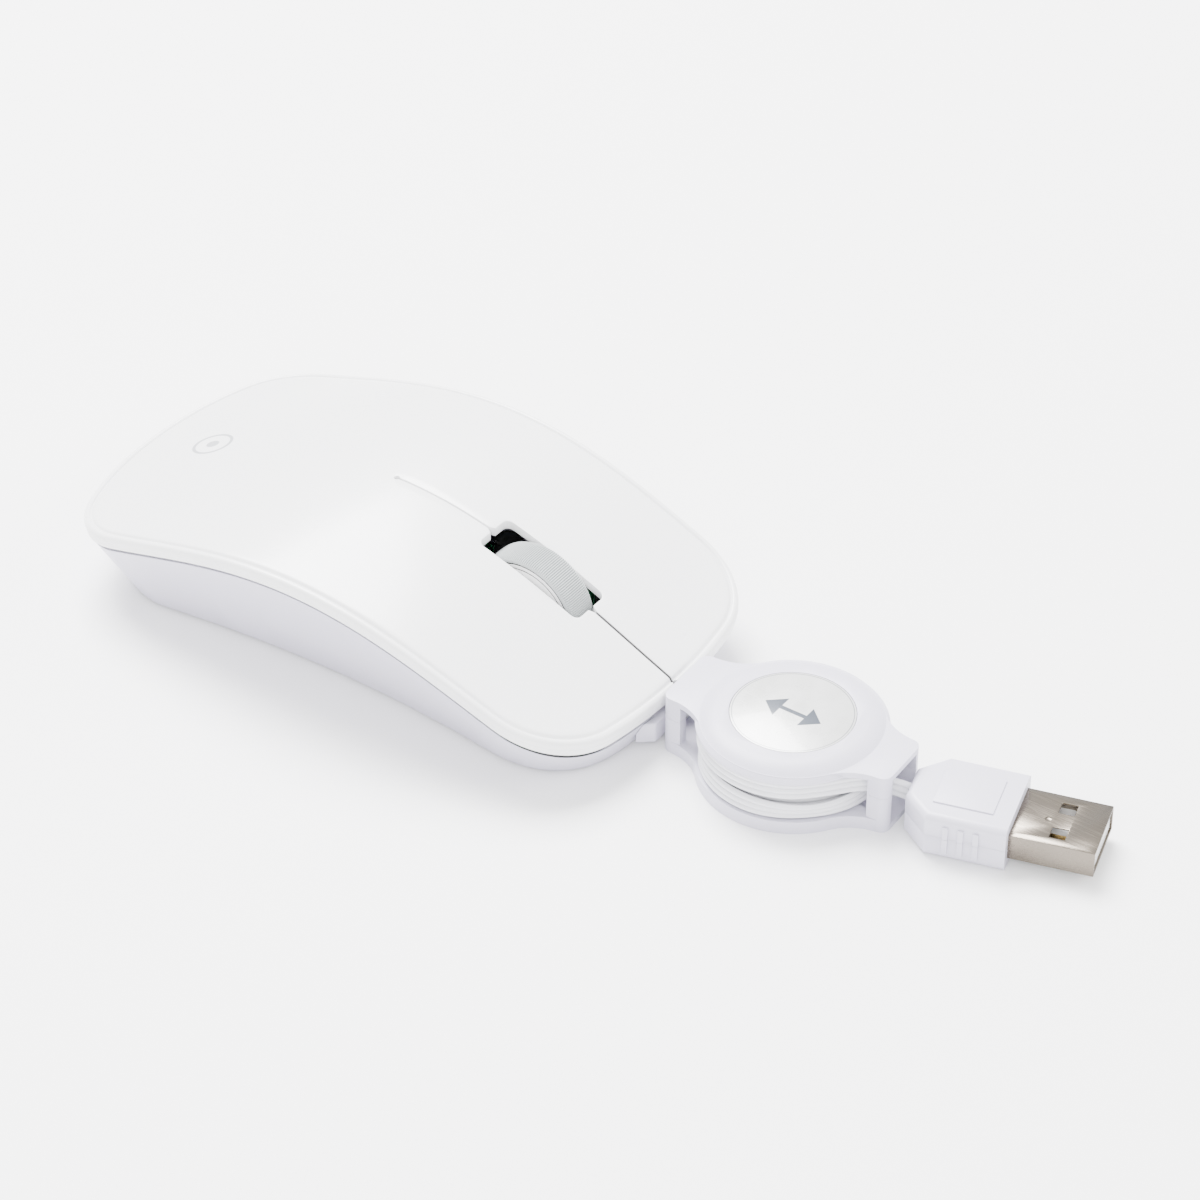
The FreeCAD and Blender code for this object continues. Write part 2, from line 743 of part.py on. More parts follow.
def strip_plan(route):
    """The plan of a flat cable on edge, along two runs joined by a tangent arc."""
    a, q, b = [V(p.x, p.y, 0) for p in route]
    u = (q - a) / (q - a).Length
    w = (b - q) / (b - q).Length
    turn = math.acos(u.dot(w))
    cut_back = 0.45 * min((q - a).Length, (b - q).Length)
    radius = cut_back / math.tan(turn / 2)
    side = 1 if u.cross(w).z > 0 else -1
    n = V(-u.y, u.x, 0) * side
    m = V(-w.y, w.x, 0) * side
    centre = q - u * cut_back + n * radius
    middle = -(n + m) / (n + m).Length
    half = cable_thickness / 2
    sides = []
    for s in (half, -half):
        p0 = a - n * s
        p1 = q - u * cut_back - n * s
        p2 = centre + middle * (radius + s)
        p3 = q + w * cut_back - m * s
        p4 = b - m * s
        sides.append((p0, p1, p2, p3, p4))
    edges = []
    for p0, p1, p2, p3, p4 in sides:
        edges += [Part.makeLine(p0, p1), Part.Arc(p1, p2, p3).toShape(), Part.makeLine(p3, p4)]
    edges.append(Part.makeLine(sides[0][0], sides[1][0]))
    edges.append(Part.makeLine(sides[0][4], sides[1][4]))
    length = (q - a).Length + (b - q).Length - 2 * cut_back + radius * turn
    print("cable bend radius", round(radius, 2), "mm, length", round(length, 2), "mm")
    return Part.Face(Part.Wire(Part.__sortEdges__(edges))), length


def lead(route, coil):
    """A stretch of flat cable from the winding out to the mouse or the plug."""
    plan, length = strip_plan(route)
    tall = plan.extrude(V(0, 0, 20))
    a, q, b = route
    up = V(0, 0, cable_width / 2)
    middle = [V(-40, 2 * a.y - q.y, a.z), V(-40, q.y, q.z), V(-40, 2 * b.y - q.y, 2 * b.z - q.z)]
    points = [p - up for p in middle] + [p + up for p in reversed(middle)]
    band = Part.Face(Part.makePolygon(points + [points[0]])).extrude(V(80, 0, 0))
    solid = tall.common(band)
    print("cable volume", round(solid.Volume, 2), "section x length",
          round(length * cable_width * cable_thickness, 2))
    return max(solid.cut(coil).Solids, key=lambda piece: piece.Volume)


low_level = winding_bottom + 0.05 + cable_width / 2
high_level = winding_bottom + winding_height - 0.05 - cable_width / 2


def from_reel(x, y, z):
    a = math.radians(reel_yaw)
    return V(reel_x + x * math.cos(a) - y * math.sin(a),
             reel_y + x * math.sin(a) + y * math.cos(a), z)


# ---- The plug, drawn along -Y from the place where its metal shell leaves the boot ----


def to_plug(shape):
    moved = shape.copy()
    moved.rotate(V(0, 0, 0), V(0, 0, 1), plug_yaw)
    moved.translate(V(plug_x, plug_y, 0))
    return moved


def from_plug(x, y, z):
    a = math.radians(plug_yaw)
    return V(plug_x + x * math.cos(a) - y * math.sin(a),
             plug_y + x * math.sin(a) + y * math.cos(a), z)


plug_middle = boot_height / 2
boot_entry = 5.4


def plug_boot():
    w = boot_width / 2
    c = 4.2
    points = [V(-w, 0, 0), V(-w, boot_length - c, 0), V(-w + c, boot_length, 0),
              V(w - c, boot_length, 0), V(w, boot_length - c, 0), V(w, 0, 0)]
    body = Part.Face(Part.makePolygon(points + [points[0]])).extrude(V(0, 0, boot_height))
    long_edges = [e for e in body.Edges if abs(e.Vertexes[0].Z - e.Vertexes[-1].Z) < 0.01
                  and max(v.Y for v in e.Vertexes) > 0.01]
    body = body.makeFillet(1.1, long_edges)
    panel = box(-4.2, 4.2, 3.0, 12.5, boot_height - 0.1, boot_height + 0.25)
    body = body.fuse(panel)
    for side in (-1, 1):
        for k in range(3):
            y = 4.2 + 2.4 * k
            x0 = min(side * (w - 0.1), side * (w + 0.35))
            body = body.fuse(box(x0, x0 + 0.45, y, y + 0.9, 1.4, boot_height - 1.6))
    pocket = box(-plug_width / 2, plug_width / 2, -1, plug_buried,
                 plug_middle - plug_height / 2, plug_middle + plug_height / 2)
    return body.cut(pocket)


def plug_shell():
    half = plug_width / 2
    low = plug_middle - plug_height / 2
    high = plug_middle + plug_height / 2
    outer = box(-half, half, -plug_reach, plug_buried, low, high)
    inner = box(-half + plug_wall, half - plug_wall, -plug_reach - 1, plug_buried - plug_wall,
                low + plug_wall, high - plug_wall)
    shell = outer.cut(inner)
    for x in (-3.0, 3.0):
        y = -plug_reach + 6.4
        shell = shell.cut(box(x - 1.25, x + 1.25, y - 1.25, y + 1.25, -1, 20))
    return shell


def plug_tongue():
    low = plug_middle - plug_height / 2 + plug_wall
    half = plug_width / 2 - plug_wall
    block = box(-half, half, -0.5, plug_buried - plug_wall, low, plug_middle + plug_height / 2 - plug_wall)
    tongue = box(-half, half, -plug_reach + 0.4, -0.4, low, low + 1.95)
    solid = block.fuse(tongue)
    for k in range(4):
        x = -3.5 + 7.0 * k / 3
        solid = solid.cut(box(x - 0.55, x + 0.55, -plug_reach + 1.2, -0.5, low + 1.65, low + 3))
    return solid


def plug_contacts():
    low = plug_middle - plug_height / 2 + plug_wall
    pads = []
    for k in range(4):
        x = -3.5 + 7.0 * k / 3
        start = -plug_reach + (1.3 if k in (0, 3) else 2.3)
        pads.append(box(x - 0.5, x + 0.5, start, -0.5, low + 1.65, low + 1.9))
    return Part.makeCompound(pads)


def write(name, shape):
    shape.exportStep("parts/" + name + ".step")
    solids = shape.Solids
    print(name, len(solids), "solid(s)", round(sum(s.Volume for s in solids), 2), "mm3",
          "valid" if shape.isValid() else "NOT VALID")


cover = cover_blank()
write("palm_cover", palm_cover(cover))
write("left_button", button(cover, 1))
write("right_button", button(cover, -1))
write("bottom_shell", bottom_shell())
write("cable_outlet", outlet())
write("wheel_hub", hub())
write("wheel_tyre", tyre())
write("wheel_carriage", carriage())
write("carriage_pin", pivot_pin())
write("carriage_spring", carriage_spring())
write("circuit_board", board())
for switch_name, sx in (("left", 1), ("right", -1)):
    x = sx * switch_x
    write(switch_name + "_switch", switch_body(x, switch_y, switch_length, switch_width,
                                               switch_height, x, plunger_y))
    write(switch_name + "_plunger", switch_plunger(x, plunger_y, switch_height, plunger_top))
write("middle_switch", switch_body(0, middle_y, 5.6, 6.0, middle_height, 0, bar_y))
write("middle_plunger", switch_plunger(0, bar_y, middle_height, middle_top))
write("sensor_chip", sensor())
write("lens_plate", lens_plate())
write("lamp", lamp())
write("light_emitter", optical_post(1))
write("light_receiver", optical_post(-1))
write("capacitor", post(12.0, wheel_y + 14, board_top, board_top + 6.5, 2.3))
write("cable_header", header())
write("inner_wires", inner_wires())
write("case_screws", case_screws())
write("front_foot", glide_foot(-half_length + 13.5, 14.0, -3.0))
write("rear_foot", glide_foot(half_length - 12.0, 12.0, 3.0))
write("base_label", base_label())

coil = to_reel(winding())
write("reel_bottom_shell", to_reel(reel_bottom()))
write("reel_top_shell", to_reel(reel_top()))
write("reel_badge", to_reel(post(0, 0, reel_height - badge_thickness, reel_height, badge_radius)))
write("reel_spool", to_reel(spool()))
write("reel_spring", to_reel(spiral_spring()))
write("ratchet_ball", to_reel(Part.makeSphere(0.95, V(0, ball_track, ball_z))))
write("cord_winding", coil)

leave_x = 0.6484 * winding_radius      # where the cable leaves the winding
leave_y = 0.7026 * winding_radius
ear_y = ear_reach - 3.1
mouse_route = [from_reel(leave_x, leave_y, low_level), from_reel(2.4, ear_y, low_level),
               V(0.8, outlet_face_y, outlet_low + 0.2 + cable_width / 2)]
plug_route = [from_reel(-leave_x, -leave_y, high_level), from_reel(-2.4, -ear_y, high_level),
              from_plug(0, boot_length, boot_entry)]
mouse_lead = lead(mouse_route, coil)
write("cord_mouse_lead", mouse_lead)
plug_lead = lead(plug_route, coil)
write("cord_plug_lead", plug_lead)

write("plug_boot", to_plug(plug_boot()))
write("plug_shell", to_plug(plug_shell()))
write("plug_tongue", to_plug(plug_tongue()))
write("plug_contacts", to_plug(plug_contacts()))

turns_high = (winding_radius - 0.9 - drum_radius - 0.8) / turn_pitch
wound = 2 * math.pi * (winding_radius - 0.9 + drum_radius + 0.8) / 2 * turns_high * 2
for name, p in (("mouse", mouse_route), ("plug", plug_route)):
    print(name, "route", [[round(c, 2) for c in q] for q in p])
print("button angle", round(button_angle, 3), "click travel", round(click_travel, 3))
print("wound cable about", round(wound), "mm, leads", round(mouse_lead.Volume / cable_width
      / cable_thickness, 1), round(plug_lead.Volume / cable_width / cable_thickness, 1))
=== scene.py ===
import json
import math

import bmesh
import bpy
import numpy as np
from mathutils import Matrix, Vector

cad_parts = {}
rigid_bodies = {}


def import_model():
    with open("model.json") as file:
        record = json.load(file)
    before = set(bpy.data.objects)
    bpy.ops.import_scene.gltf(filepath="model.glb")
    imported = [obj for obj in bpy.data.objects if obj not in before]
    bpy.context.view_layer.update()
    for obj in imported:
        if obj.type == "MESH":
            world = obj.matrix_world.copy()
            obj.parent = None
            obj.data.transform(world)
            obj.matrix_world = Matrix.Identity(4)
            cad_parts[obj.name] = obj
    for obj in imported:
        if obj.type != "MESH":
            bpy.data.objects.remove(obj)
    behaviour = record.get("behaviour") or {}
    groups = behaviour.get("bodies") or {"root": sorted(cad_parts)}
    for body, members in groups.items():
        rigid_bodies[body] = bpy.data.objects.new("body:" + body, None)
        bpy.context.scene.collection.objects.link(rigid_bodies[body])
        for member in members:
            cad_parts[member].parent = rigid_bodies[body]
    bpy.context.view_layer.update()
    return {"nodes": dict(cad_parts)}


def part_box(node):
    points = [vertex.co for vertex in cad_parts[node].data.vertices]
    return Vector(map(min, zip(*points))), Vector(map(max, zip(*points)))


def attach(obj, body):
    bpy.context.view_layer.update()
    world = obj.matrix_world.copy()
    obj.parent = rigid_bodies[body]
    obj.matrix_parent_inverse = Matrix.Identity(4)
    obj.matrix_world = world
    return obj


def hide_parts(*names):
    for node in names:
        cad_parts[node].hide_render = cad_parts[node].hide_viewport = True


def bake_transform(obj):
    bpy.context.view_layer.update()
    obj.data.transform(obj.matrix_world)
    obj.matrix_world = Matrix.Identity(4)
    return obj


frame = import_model()
nodes = frame["nodes"]

MM = 0.001
scene = bpy.context.scene

# ---- Camera ----

camera_target = Vector((0.01992, -0.02485, 0.0))
camera_elevation = math.radians(37.37)
camera_azimuth = math.radians(-54.88)
camera_distance = 0.7004
towards_camera = Vector((
    math.sin(camera_azimuth) * math.cos(camera_elevation),
    -math.cos(camera_azimuth) * math.cos(camera_elevation),
    math.sin(camera_elevation),
))
camera_data = bpy.data.cameras.new("camera")
camera_data.sensor_width = 36.0
camera_data.lens = 127.31
camera_data.clip_start = 0.01
camera = bpy.data.objects.new("camera", camera_data)
scene.collection.objects.link(camera)
camera.location = camera_target + towards_camera * camera_distance
camera.rotation_euler = towards_camera.to_track_quat("Z", "Y").to_euler()
scene.camera = camera


# ---- Helpers for modelling ----


def start_clean():
    if bpy.context.object and bpy.context.object.mode != "OBJECT":
        bpy.ops.object.mode_set(mode="OBJECT")
    bpy.ops.object.select_all(action="DESELECT")


def pick(piece):
    start_clean()
    piece.select_set(True)
    bpy.context.view_layer.objects.active = piece


def settle(piece, name):
    """Names the piece and puts its place into its mesh."""
    pick(piece)
    bpy.ops.object.transform_apply(location=True, rotation=True, scale=True)
    piece.name = name
    piece.data.name = name
    return piece


def edit(piece, select="SELECT"):
    pick(piece)
    bpy.ops.object.mode_set(mode="EDIT")
    bpy.ops.mesh.select_mode(type="VERT")
    bpy.ops.mesh.select_all(action=select)


def done():
    bpy.ops.object.mode_set(mode="OBJECT")


def weld(piece, reach=2e-6, outward=True):
    edit(piece)
    bpy.ops.mesh.remove_doubles(threshold=reach)
    bpy.ops.mesh.dissolve_degenerate(threshold=1e-7)
    if outward:
        bpy.ops.mesh.select_all(action="SELECT")
        bpy.ops.mesh.normals_make_consistent(inside=False)
    done()


def smooth(piece, degrees=35):
    pick(piece)
    bpy.ops.object.shade_smooth_by_angle(angle=math.radians(degrees))


def apply_modifiers(piece):
    pick(piece)
    for modifier in list(piece.modifiers):
        bpy.ops.object.modifier_apply(modifier=modifier.name)


def soft_edges(piece, width_mm, segments=2, degrees=40, clamp=True):
    bevel = piece.modifiers.new("soft edges", "BEVEL")
    bevel.width = width_mm * MM
    bevel.segments = segments
    bevel.limit_method = "ANGLE"
    bevel.angle_limit = math.radians(degrees)
    bevel.use_clamp_overlap = clamp
    apply_modifiers(piece)


def skin_over(name, rings):
    """A grid bent over rows of points given in millimetres; each row closes on itself."""
    count = len(rings[0])
    start_clean()
    bpy.ops.mesh.primitive_grid_add(x_subdivisions=count, y_subdivisions=len(rings) - 1,
                                    size=0.1)
    piece = bpy.context.object
    rows = [list(ring) + [ring[0]] for ring in rings]
    flat = np.array(rows, float).reshape(-1) * MM
    piece.data.vertices.foreach_set("co", flat)
    piece.data.update()
    settle(piece, name)
    weld(piece)
    return piece


def prism(name, outline, z0, z1):
    """An upright prism over an outline given in millimetres."""
    start_clean()
    bpy.ops.mesh.primitive_circle_add(vertices=len(outline), radius=0.01, fill_type="NGON")
    piece = bpy.context.object
    flat = []
    for x, y in outline:
        flat += [x * MM, y * MM, z0 * MM]
    piece.data.vertices.foreach_set("co", flat)
    piece.data.update()
    edit(piece)
    bpy.ops.mesh.extrude_region_move(
        TRANSFORM_OT_translate={"value": (0.0, 0.0, (z1 - z0) * MM)})
    bpy.ops.mesh.select_all(action="SELECT")
    bpy.ops.mesh.normals_make_consistent(inside=False)
    done()
    return settle(piece, name)


def carve(piece, tool):
    cut = piece.modifiers.new("cut", "BOOLEAN")
    cut.operation = "DIFFERENCE"
    cut.solver = "EXACT"
    cut.object = tool
    apply_modifiers(piece)
    bpy.data.objects.remove(tool)


def tube(name, centre, radius, depth, axis="Z", sides=48):
    """A cylinder in millimetres, standing on its middle."""
    start_clean()
    turn = {"Z": (0, 0, 0), "X": (0, math.pi / 2, 0), "Y": (math.pi / 2, 0, 0)}[axis]
    bpy.ops.mesh.primitive_cylinder_add(vertices=sides, radius=radius * MM, depth=depth * MM,
                                        location=[c * MM for c in centre], rotation=turn)
    return settle(bpy.context.object, name)


def join(main, *others):
    pick(main)
    for other in others:
        other.select_set(True)
    bpy.ops.object.join()
    return main


def second_slot(piece, chosen):
    """Gives the piece two material slots, the second for the faces that chosen() picks."""
    piece.data.materials.clear()
    piece.data.materials.append(None)
    piece.data.materials.append(None)
    for face in piece.data.polygons:
        face.material_index = 1 if chosen(face.center / MM, face.normal) else 0


def from_cad(node, name, width_mm=0.25, segments=3, degrees=38, dissolve=1.0, clamp=True):
    """A copy of a CAD node with its hard edges rounded."""
    piece = bpy.data.objects.new(name, nodes[node].data.copy())
    scene.collection.objects.link(piece)
    piece.data.materials.clear()
    pick(piece)
    if piece.data.has_custom_normals:
        bpy.ops.mesh.customdata_custom_splitnormals_clear()
    edit(piece)
    bpy.ops.mesh.remove_doubles(threshold=1e-6)
    bpy.ops.mesh.mark_sharp(clear=True)
    bpy.ops.mesh.dissolve_limited(angle_limit=math.radians(dissolve),
                                  use_dissolve_boundaries=False)
    done()
    if width_mm:
        soft_edges(piece, width_mm, segments, degrees, clamp)
    smooth(piece, degrees)
    piece.name = name
    piece.data.name = name
    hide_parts(node)
    return piece


# ---- Shapes that the CAD part also uses, in millimetres ----

half_length = 54.0
half_width = 30.0
cover_edge = 2.4
crown = 2.6
flex_line_y = 2.0
wheel_y = -26.0
wheel_z = 12.4


def seam_height(y):
    stations = (-54.0, -27.0, 0.0, 27.0, 54.0)
    heights = (6.1, 15.7, 20.9, 16.3, 10.0)
    total = 0.0
    for i, height in enumerate(heights):
        share = 1.0
        for j, other in enumerate(stations):
            if j != i:
                share *= (y - other) / (stations[i] - other)
        total += height * share
    return total


def top_height(x, y):
    rise = crown * (1 - (y / half_length) ** 4) * (1 - (x / half_width) ** 2)
    return seam_height(y) + cover_edge + rise


def plan_arcs(length, width, mid_y, wide_y, side_r, front_r, rear_r, front_c, rear_c):
    """The eight arcs of the rounded plan as (centre x, centre y, radius, angles)."""
    side = Vector((width / 2 - side_r, wide_y))
    ends = {}
    for sign, end_r, corner_r in ((-1, front_r, front_c), (1, rear_r, rear_c)):
        end = Vector((0.0, mid_y + sign * (length / 2 - end_r)))
        a = side_r - corner_r
        b = end_r - corner_r
        apart = end - side
        d = apart.length
        along = (a * a - b * b + d * d) / (2 * d)
        off = math.sqrt(a * a - along * along)
        u = apart / d
        n = Vector((-u.y, u.x))
        choices = [side + u * along + n * off, side + u * along - n * off]
        corner = max(choices, key=lambda p: p.x + sign * p.y)
        to_side = math.atan2(corner.y - side.y, corner.x - side.x)
        to_end = math.atan2(corner.y - end.y, corner.x - end.x)
        ends[sign] = (end, corner, to_side, to_end, end_r, corner_r)
    end, corner, front_side, front_end, end_r, corner_r = ends[-1]
    end2, corner2, rear_side, rear_end, end_r2, corner_r2 = ends[1]
    turn = math.pi
    return [
        (corner.x, corner.y, corner_r, front_end, front_side),
        (side.x, side.y, side_r, front_side, rear_side),
        (corner2.x, corner2.y, corner_r2, rear_side, rear_end),
        (end2.x, end2.y, end_r2, rear_end, turn - rear_end),
        (-corner2.x, corner2.y, corner_r2, turn - rear_end, turn - rear_side),
        (-side.x, side.y, side_r, turn - rear_side, turn - front_side),
        (-corner.x, corner.y, corner_r, turn - front_side, turn - front_end),
        (end.x, end.y, end_r, turn - front_end, 2 * turn + front_end),
    ]


cover_plan = plan_arcs(108.0, 60.0, 0.0, -3.0, 720.0, 109.0, 55.0, 15.0, 13.4)
arc_steps = (20, 46, 20, 26, 20, 46, 20, 26)


def plan_ring(inset):
    """Points round the cover's plan, moved inwards."""
    points = []
    for (cx, cy, r, a0, a1), steps in zip(cover_plan, arc_steps):
        for k in range(steps):
            a = a0 + (a1 - a0) * k / steps
            points.append((cx + (r - inset) * math.cos(a), cy + (r - inset) * math.sin(a)))
    return points


last_inset = 11.0
spine = 24.0


def inner_ring(share):
    """A ring between the last inset ring, at share 1, and the spine, at share 0."""
    points = []
    for x, y in plan_ring(last_inset):
        middle = max(-spine, min(spine, y))
        points.append((x * share, middle + (y - middle) * share))
    return points


# ---- Cable ----

reel_centre = Vector((1.0, -74.75, 0.0))
reel_yaw = math.radians(2.3)
low_level = 4.15
high_level = 7.75
turn_pitch = 1.165
turn_points = 20


def from_reel(x, y, z):
    turned = Matrix.Rotation(reel_yaw, 3, "Z") @ Vector((x, y, z))
    return turned + reel_centre


def wound_turns(first_angle, level, bulge, drift):
    """Control points of one half of the winding, from the outside in, turning clockwise."""
    points = []
    step = 360.0 / turn_points
    reach = 1.0 / math.cos(math.radians(step / 2))
    swept = step
    radius = 14.15
    while radius > 10.1:
        a = math.radians(first_angle - swept)
        outer = max(0.0, 1 - swept / 300.0)
        r = (radius + bulge * math.sin(math.pi * min(1.0, swept / 300.0))) * reach
        z = level + drift * outer * math.sin(math.radians(swept))
        points.append(from_reel(r * math.cos(a), r * math.sin(a), z))
        swept += step
        radius = 14.15 - turn_pitch * max(0.0, swept - 230.0) / 360.0
    for r in (9.6, 8.95, 8.3, 7.7):
        a = math.radians(first_angle - swept)
        points.append(from_reel(r * math.cos(a), r * math.sin(a), level))
        swept += step
    return points


mouse_exit = Vector((0.8, -54.2, 3.1))
plug_entry = Vector((1.84, -96.05, 5.4))
mouse_half = [mouse_exit, Vector((2.72, -57.77, 4.15)), Vector((10.17, -63.97, 4.15))]
mouse_half += wound_turns(47.3, low_level, 0.6, -0.2)
plug_half = [plug_entry, Vector((-0.72, -91.73, 7.75)), Vector((-8.17, -85.53, 7.75))]
plug_half += wound_turns(227.3, high_level, 0.25, 0.15)
plug_half.reverse()


def route(name, points):
    """A smooth NURBS line through the cable's middle."""
    curve = bpy.data.curves.new(name, "CURVE")
    curve.dimensions = "3D"
    curve.resolution_u = 6
    spline = curve.splines.new("NURBS")
    spline.points.add(len(points) - 1)
    for point, place in zip(spline.points, points):
        point.co = (place.x * MM, place.y * MM, place.z * MM, 1.0)
    spline.order_u = 3
    spline.use_endpoint_u = True
    line = bpy.data.objects.new(name, curve)
    scene.collection.objects.link(line)
    bpy.context.view_layer.update()
    mesh = bpy.data.meshes.new_from_object(line)
    path = [Vector(v.co) for v in mesh.vertices]
    bpy.data.meshes.remove(mesh)
    bpy.data.objects.remove(line)
    return path


def ribbon_section():
    """Outline of the flat three-ribbed cable as (through its thickness, along its width)."""
    half = 1.62
    side = []
    for k in range(31):
        u = -half + 2 * half * k / 30
        body = 0.19 + 0.31 * abs(math.cos(math.pi * u / 1.08)) ** 0.8
        edge = max(0.0, abs(u) - 1.2) / (half - 1.2)
        side.append((body * math.sqrt(max(0.0, 1 - edge * edge)), u))
    back = [(-w, u) for w, u in reversed(side[1:-1])]
    return side + back


def ribbon(name, path, lean):
    """The flat cable swept along its path, standing on its edge."""
    section = ribbon_section()
    rings = []
    for i, place in enumerate(path):
        ahead = path[min(i + 1, len(path) - 1)] - path[max(i - 1, 0)]
        flat = Vector((ahead.x, ahead.y, 0.0)).normalized()
        out = Vector((flat.y, -flat.x, 0.0))
        up = out.cross(ahead).normalized()
        if up.z < 0:
            up = -up
        angle = lean(i / (len(path) - 1))
        across = out * math.cos(angle) + up * math.sin(angle)
        along = up * math.cos(angle) - out * math.sin(angle)
        middle = place / MM
        rings.append([middle + across * w + along * u for w, u in section])
    piece = skin_over(name, rings)
    edit(piece, "DESELECT")
    bpy.ops.mesh.select_non_manifold()
    bpy.ops.mesh.fill_holes(sides=0)
    bpy.ops.mesh.select_all(action="SELECT")
    bpy.ops.mesh.normals_make_consistent(inside=False)
    done()
    smooth(piece, 50)
    return piece


mouse_path = route("mouse_route", mouse_half)
plug_path = route("plug_route", plug_half)


def hump(share, middle, spread):
    return math.exp(-(((share - middle) / spread) ** 2))


def low_lean(share):
    """The low half leans out along the window and in by the post."""
    return -0.10 * hump(share, 0.195, 0.034) + 0.35 * hump(share, 0.136, 0.016)


def high_lean(share):
    return 0.10 * hump(share, 0.885, 0.034)


mouse_cable = ribbon("cable_to_mouse", mouse_path, low_lean)
plug_cable = ribbon("cable_to_plug", plug_path, high_lean)


# ---- Top cover ----


def cover_ring(inset, height):
    """A ring of the cover at a height above the side curve or below the top."""
    ring = []
    for x, y in plan_ring(inset):
        ring.append((x, y, height(x, y)))
    return ring


def above_seam(rise):
    return lambda x, y: seam_height(y) + rise


def from_top(drop):
    return lambda x, y: top_height(x, y) - drop


def raised_cover():
    """The whole cover: roof lining, inner wall, lower edge, side, rim bead, groove and top."""
    rings = []
    roof = 1.6  # thickness of the cover's roof
    for share in (0.0, 0.2, 0.4, 0.6, 0.8, 1.0):
        rings.append([(x, y, top_height(x, y) - roof) for x, y in inner_ring(share)])
    for inset in (8.0, 5.0, 2.6):
        rings.append(cover_ring(inset, from_top(roof)))
    rings.append(cover_ring(1.6, from_top(roof + 0.25)))
    rings.append(cover_ring(1.5, above_seam(0.12)))
    rings.append(cover_ring(1.35, above_seam(0.0)))
    rings.append(cover_ring(0.5, above_seam(0.0)))
    rings.append(cover_ring(0.36, above_seam(0.05)))
    rings.append(cover_ring(0.30, above_seam(0.2)))
    rings.append(cover_ring(0.30, above_seam(0.5)))
    rim = ((0.30, 1.62), (0.27, 1.50), (0.10, 1.40), (0.02, 1.28), (0.0, 1.1), (0.0, 0.62),
           (0.05, 0.36), (0.18, 0.15), (0.38, 0.03), (0.62, 0.0), (0.84, 0.05), (0.98, 0.17),
           (1.06, 0.34), (1.12, 0.44), (1.22, 0.46), (1.32, 0.42), (1.40, 0.26), (1.50, 0.12),
           (1.66, 0.04), (1.9, 0.0), (2.4, 0.0), (3.2, 0.0), (4.4, 0.0), (5.8, 0.0),
           (7.2, 0.0), (8.6, 0.0), (9.8, 0.0))
    for inset, drop in rim:
        rings.append(cover_ring(inset, from_top(drop)))
    for k in range(12):
        share = 1 - k / 11
        rings.append([(x, y, top_height(x, y)) for x, y in inner_ring(share)])
    return skin_over("cover", rings)


def corner(cx, cy, r, a0, a1, steps=6):
    points = []
    for k in range(steps + 1):
        a = math.radians(a0 + (a1 - a0) * k / steps)
        points.append((cx + r * math.cos(a), cy + r * math.sin(a)))
    return points


def opening_outline():
    """Right half of the slit, the wheel's slot and the slit's round end, front to rear."""
    half = 0.22
    rear_half = 0.16
    right = [(0.9, -60.0), (0.9, -54.2), (half, -52.9), (half, -38.0), (0.65, -37.1)]
    right += corner(2.7, -35.9, 1.2, -90, 0)
    right += corner(2.7, -19.2, 1.2, 0, 90)
    right += [(0.65, -18.0), (rear_half, -17.2), (rear_half, 0.75)]
    right += corner(0.0, 1.15, 0.45, -65, 90)
    left = [(-x, y) for x, y in reversed(right[:-1])]
    return right + left


cover = raised_cover()
carve(cover, prism("opening", opening_outline(), -2.0, 60.0))
edit(cover)
bpy.ops.mesh.bisect(plane_co=(0.0, flex_line_y * MM, 0.0), plane_no=(0.0, 1.0, 0.0))
bpy.ops.mesh.select_all(action="SELECT")
bpy.ops.mesh.bisect(plane_co=(0.0, 0.0, 0.0), plane_no=(1.0, 0.0, 0.0))
done()
weld(cover, 5e-6, outward=False)
soft_edges(cover, 0.13, 2, 62, clamp=False)
smooth(cover, 45)


def part_of_cover(name, keep):
    """One piece of the cover, keeping the whole cover's shading so that no joint shows."""
    piece = bpy.data.objects.new(name, cover.data.copy())
    scene.collection.objects.link(piece)
    mesh = piece.data
    shading = np.zeros(len(mesh.loops) * 3, np.float32)
    mesh.corner_normals.foreach_get("vector", shading)
    kept = mesh.attributes.new("kept_normal", "FLOAT_VECTOR", "CORNER")
    kept.data.foreach_set("vector", shading)
    work = bmesh.new()
    work.from_mesh(mesh)
    lost = [f for f in work.faces if not keep(f.calc_center_median())]
    bmesh.ops.delete(work, geom=lost, context="FACES")
    work.to_mesh(mesh)
    work.free()
    shading = np.zeros(len(mesh.loops) * 3, np.float32)
    mesh.attributes["kept_normal"].data.foreach_get("vector", shading)
    mesh.normals_split_custom_set(shading.reshape(-1, 3).tolist())
    mesh.attributes.remove(mesh.attributes["kept_normal"])
    return piece


flex = flex_line_y * MM
palm = part_of_cover("top_cover", lambda c: c.y > flex)
left_tongue = part_of_cover("left_button_tongue", lambda c: c.y < flex and c.x > 0)
right_tongue = part_of_cover("right_button_tongue", lambda c: c.y < flex and c.x < 0)
bpy.data.objects.remove(cover)


def on_slit_wall(middle, normal):
    """The facing walls of the slit ahead of the wheel, which take a dark grey painted shade."""
    return abs(middle.x) < 0.6 and middle.y < -38.0 and abs(normal.x) > 0.95


second_slot(left_tongue, on_slit_wall)
second_slot(right_tongue, on_slit_wall)


# ---- Scroll wheel ----


